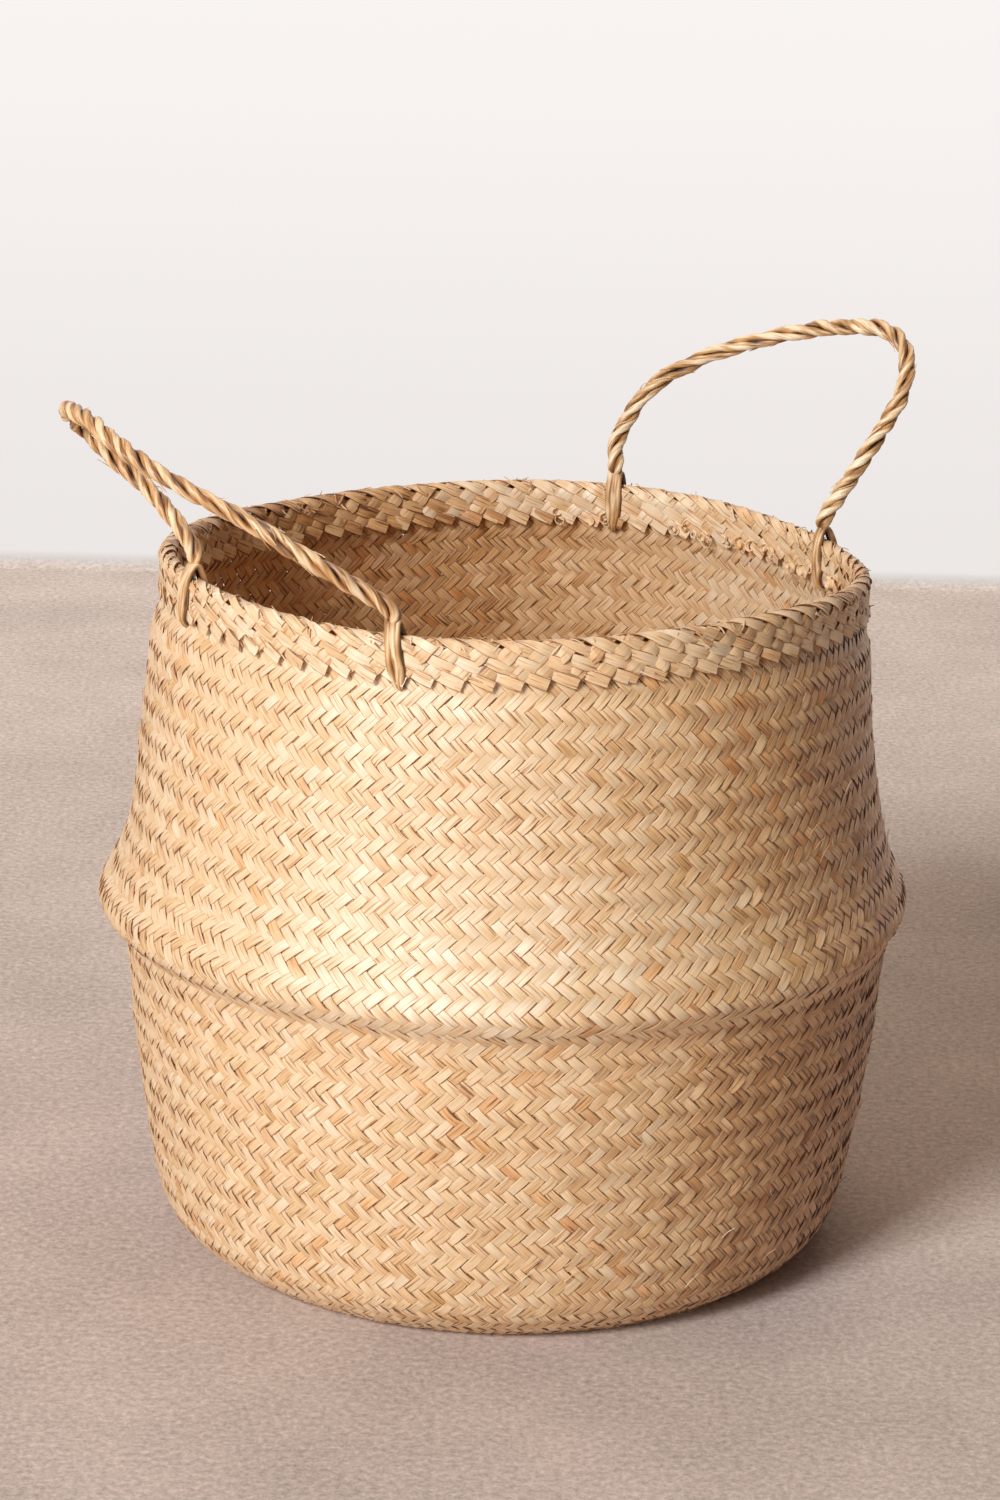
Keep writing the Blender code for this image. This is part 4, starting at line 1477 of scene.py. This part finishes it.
class SetStage(bpy.types.Operator):
    """Sets the floor, the backdrop, the lights and the camera"""

    bl_idname = "basket.set_stage"
    bl_label = "Set stage"

    def execute(self, context):
        colours = context.scene.basket_colours
        turns = [COVE_RADIUS * (1 - math.cos(t)) for t in np.linspace(0, math.pi / 2, 9)]
        sides = [BACKDROP_BEHIND + COVE_RADIUS * (math.sin(t) - 1) for t in np.linspace(0, math.pi / 2, 9)]
        line = [(-STAGE_HALF, 0.0), *zip(sides, turns), (BACKDROP_BEHIND, STAGE_HALF)]
        points = [(x, y, z) for y, z in line for x in (-STAGE_HALF, STAGE_HALF)]
        faces = [(2 * k, 2 * k + 1, 2 * k + 3, 2 * k + 2) for k in range(len(line) - 1)]
        mesh = bpy.data.meshes.new("studio_sweep")
        mesh.from_pydata(points, [], faces)
        mesh.shade_smooth()
        mesh.materials.append(studio_plaster(colours.floor, colours.backdrop))
        sweep = bpy.data.objects.new("studio_sweep", mesh)
        context.scene.collection.objects.link(sweep)
        self.set_lights(context)
        self.set_camera(context)
        return {"FINISHED"}

    def set_lights(self, context):
        middle = Vector((0, 0, 0.2))
        key = middle + light_arm(KEY_RISE, KEY_DISTANCE)
        low = middle + light_arm(LOW_RISE, LOW_DISTANCE)
        soft_light("key", key, middle, KEY_SIZE, KEY_POWER)
        soft_light("low", low, middle, LOW_SIZE, LOW_POWER)
        soft_light("top", Vector((0.15, 0.5, 2.6)), Vector((0.15, 0.5, 0)), TOP_SIZE, TOP_POWER, "#FFE6CC")
        colours = context.scene.basket_colours
        world = bpy.data.worlds.new("studio")
        world.use_nodes = True
        tree = world.node_tree
        dim = tree.nodes["Background"]
        dim.inputs["Color"].default_value = linear(colours.ambience)
        dim.inputs["Strength"].default_value = WORLD_STRENGTH
        # Where the camera sees past the floor, the room is as pale as the backdrop
        pale = add_node(tree, "ShaderNodeBackground", Color=linear(colours.backdrop), Strength=1.0)
        seen = add_node(tree, "ShaderNodeLightPath").outputs["Is Camera Ray"]
        mix = add_node(tree, "ShaderNodeMixShader", _0=seen, _1=dim.outputs[0], _2=pale.outputs[0])
        tree.links.new(mix.outputs[0], tree.nodes["World Output"].inputs["Surface"])
        context.scene.world = world

    def set_camera(self, context):
        data = bpy.data.cameras.new("camera")
        data.sensor_width = SENSOR
        data.lens = FOCAL_PIXELS / PHOTO_HEIGHT * SENSOR
        camera = bpy.data.objects.new("camera", data)
        camera.location = (CAMERA_ASIDE, -CAMERA_DISTANCE, CAMERA_HEIGHT)
        look = Vector((0, math.cos(CAMERA_PITCH), -math.sin(CAMERA_PITCH)))
        camera.rotation_euler = look.to_track_quat("-Z", "Y").to_euler()
        camera.rotation_euler.rotate_axis("Z", CAMERA_ROLL)
        context.scene.collection.objects.link(camera)
        context.scene.camera = camera
        context.scene.view_settings.view_transform = "Standard"


class BasketPanel(bpy.types.Panel):
    """Sizes, colours and steps of the basket"""

    bl_label = "Belly basket"
    bl_idname = "VIEW3D_PT_belly_basket"
    bl_space_type = "VIEW_3D"
    bl_region_type = "UI"
    bl_category = "Basket"

    def draw(self, context):
        layout = self.layout
        scene = context.scene
        for group in (scene.basket_plait, scene.basket_rope, scene.basket_colours):
            box = layout.box()
            for name in group.__annotations__:
                box.prop(group, name)
        for step in STEPS:
            layout.operator(step.bl_idname)


STEPS = (
    PlaitBase,
    PlaitWall,
    PlaitBelly,
    PlaitRim,
    LayHandles,
    TieStraps,
    RaiseFibres,
    SetStage,
)
CLASSES = (PlaitSettings, RopeSettings, ColourSettings, *STEPS, BasketPanel)


def register():
    for item in CLASSES:
        bpy.utils.register_class(item)
    bpy.types.Scene.basket_plait = bpy.props.PointerProperty(type=PlaitSettings)
    bpy.types.Scene.basket_rope = bpy.props.PointerProperty(type=RopeSettings)
    bpy.types.Scene.basket_colours = bpy.props.PointerProperty(type=ColourSettings)


def unregister():
    del bpy.types.Scene.basket_plait
    del bpy.types.Scene.basket_rope
    del bpy.types.Scene.basket_colours
    for item in reversed(CLASSES):
        bpy.utils.unregister_class(item)


def main():
    register()
    bpy.ops.object.select_all(action="DESELECT")
    bpy.ops.basket.plait_base()
    bpy.ops.basket.plait_wall()
    bpy.ops.basket.plait_belly()
    bpy.ops.basket.plait_rim()
    bpy.ops.basket.lay_handles()
    bpy.ops.basket.tie_straps()
    bpy.ops.basket.raise_fibres()
    bpy.ops.basket.set_stage()


if __name__ == "__main__":
    main()
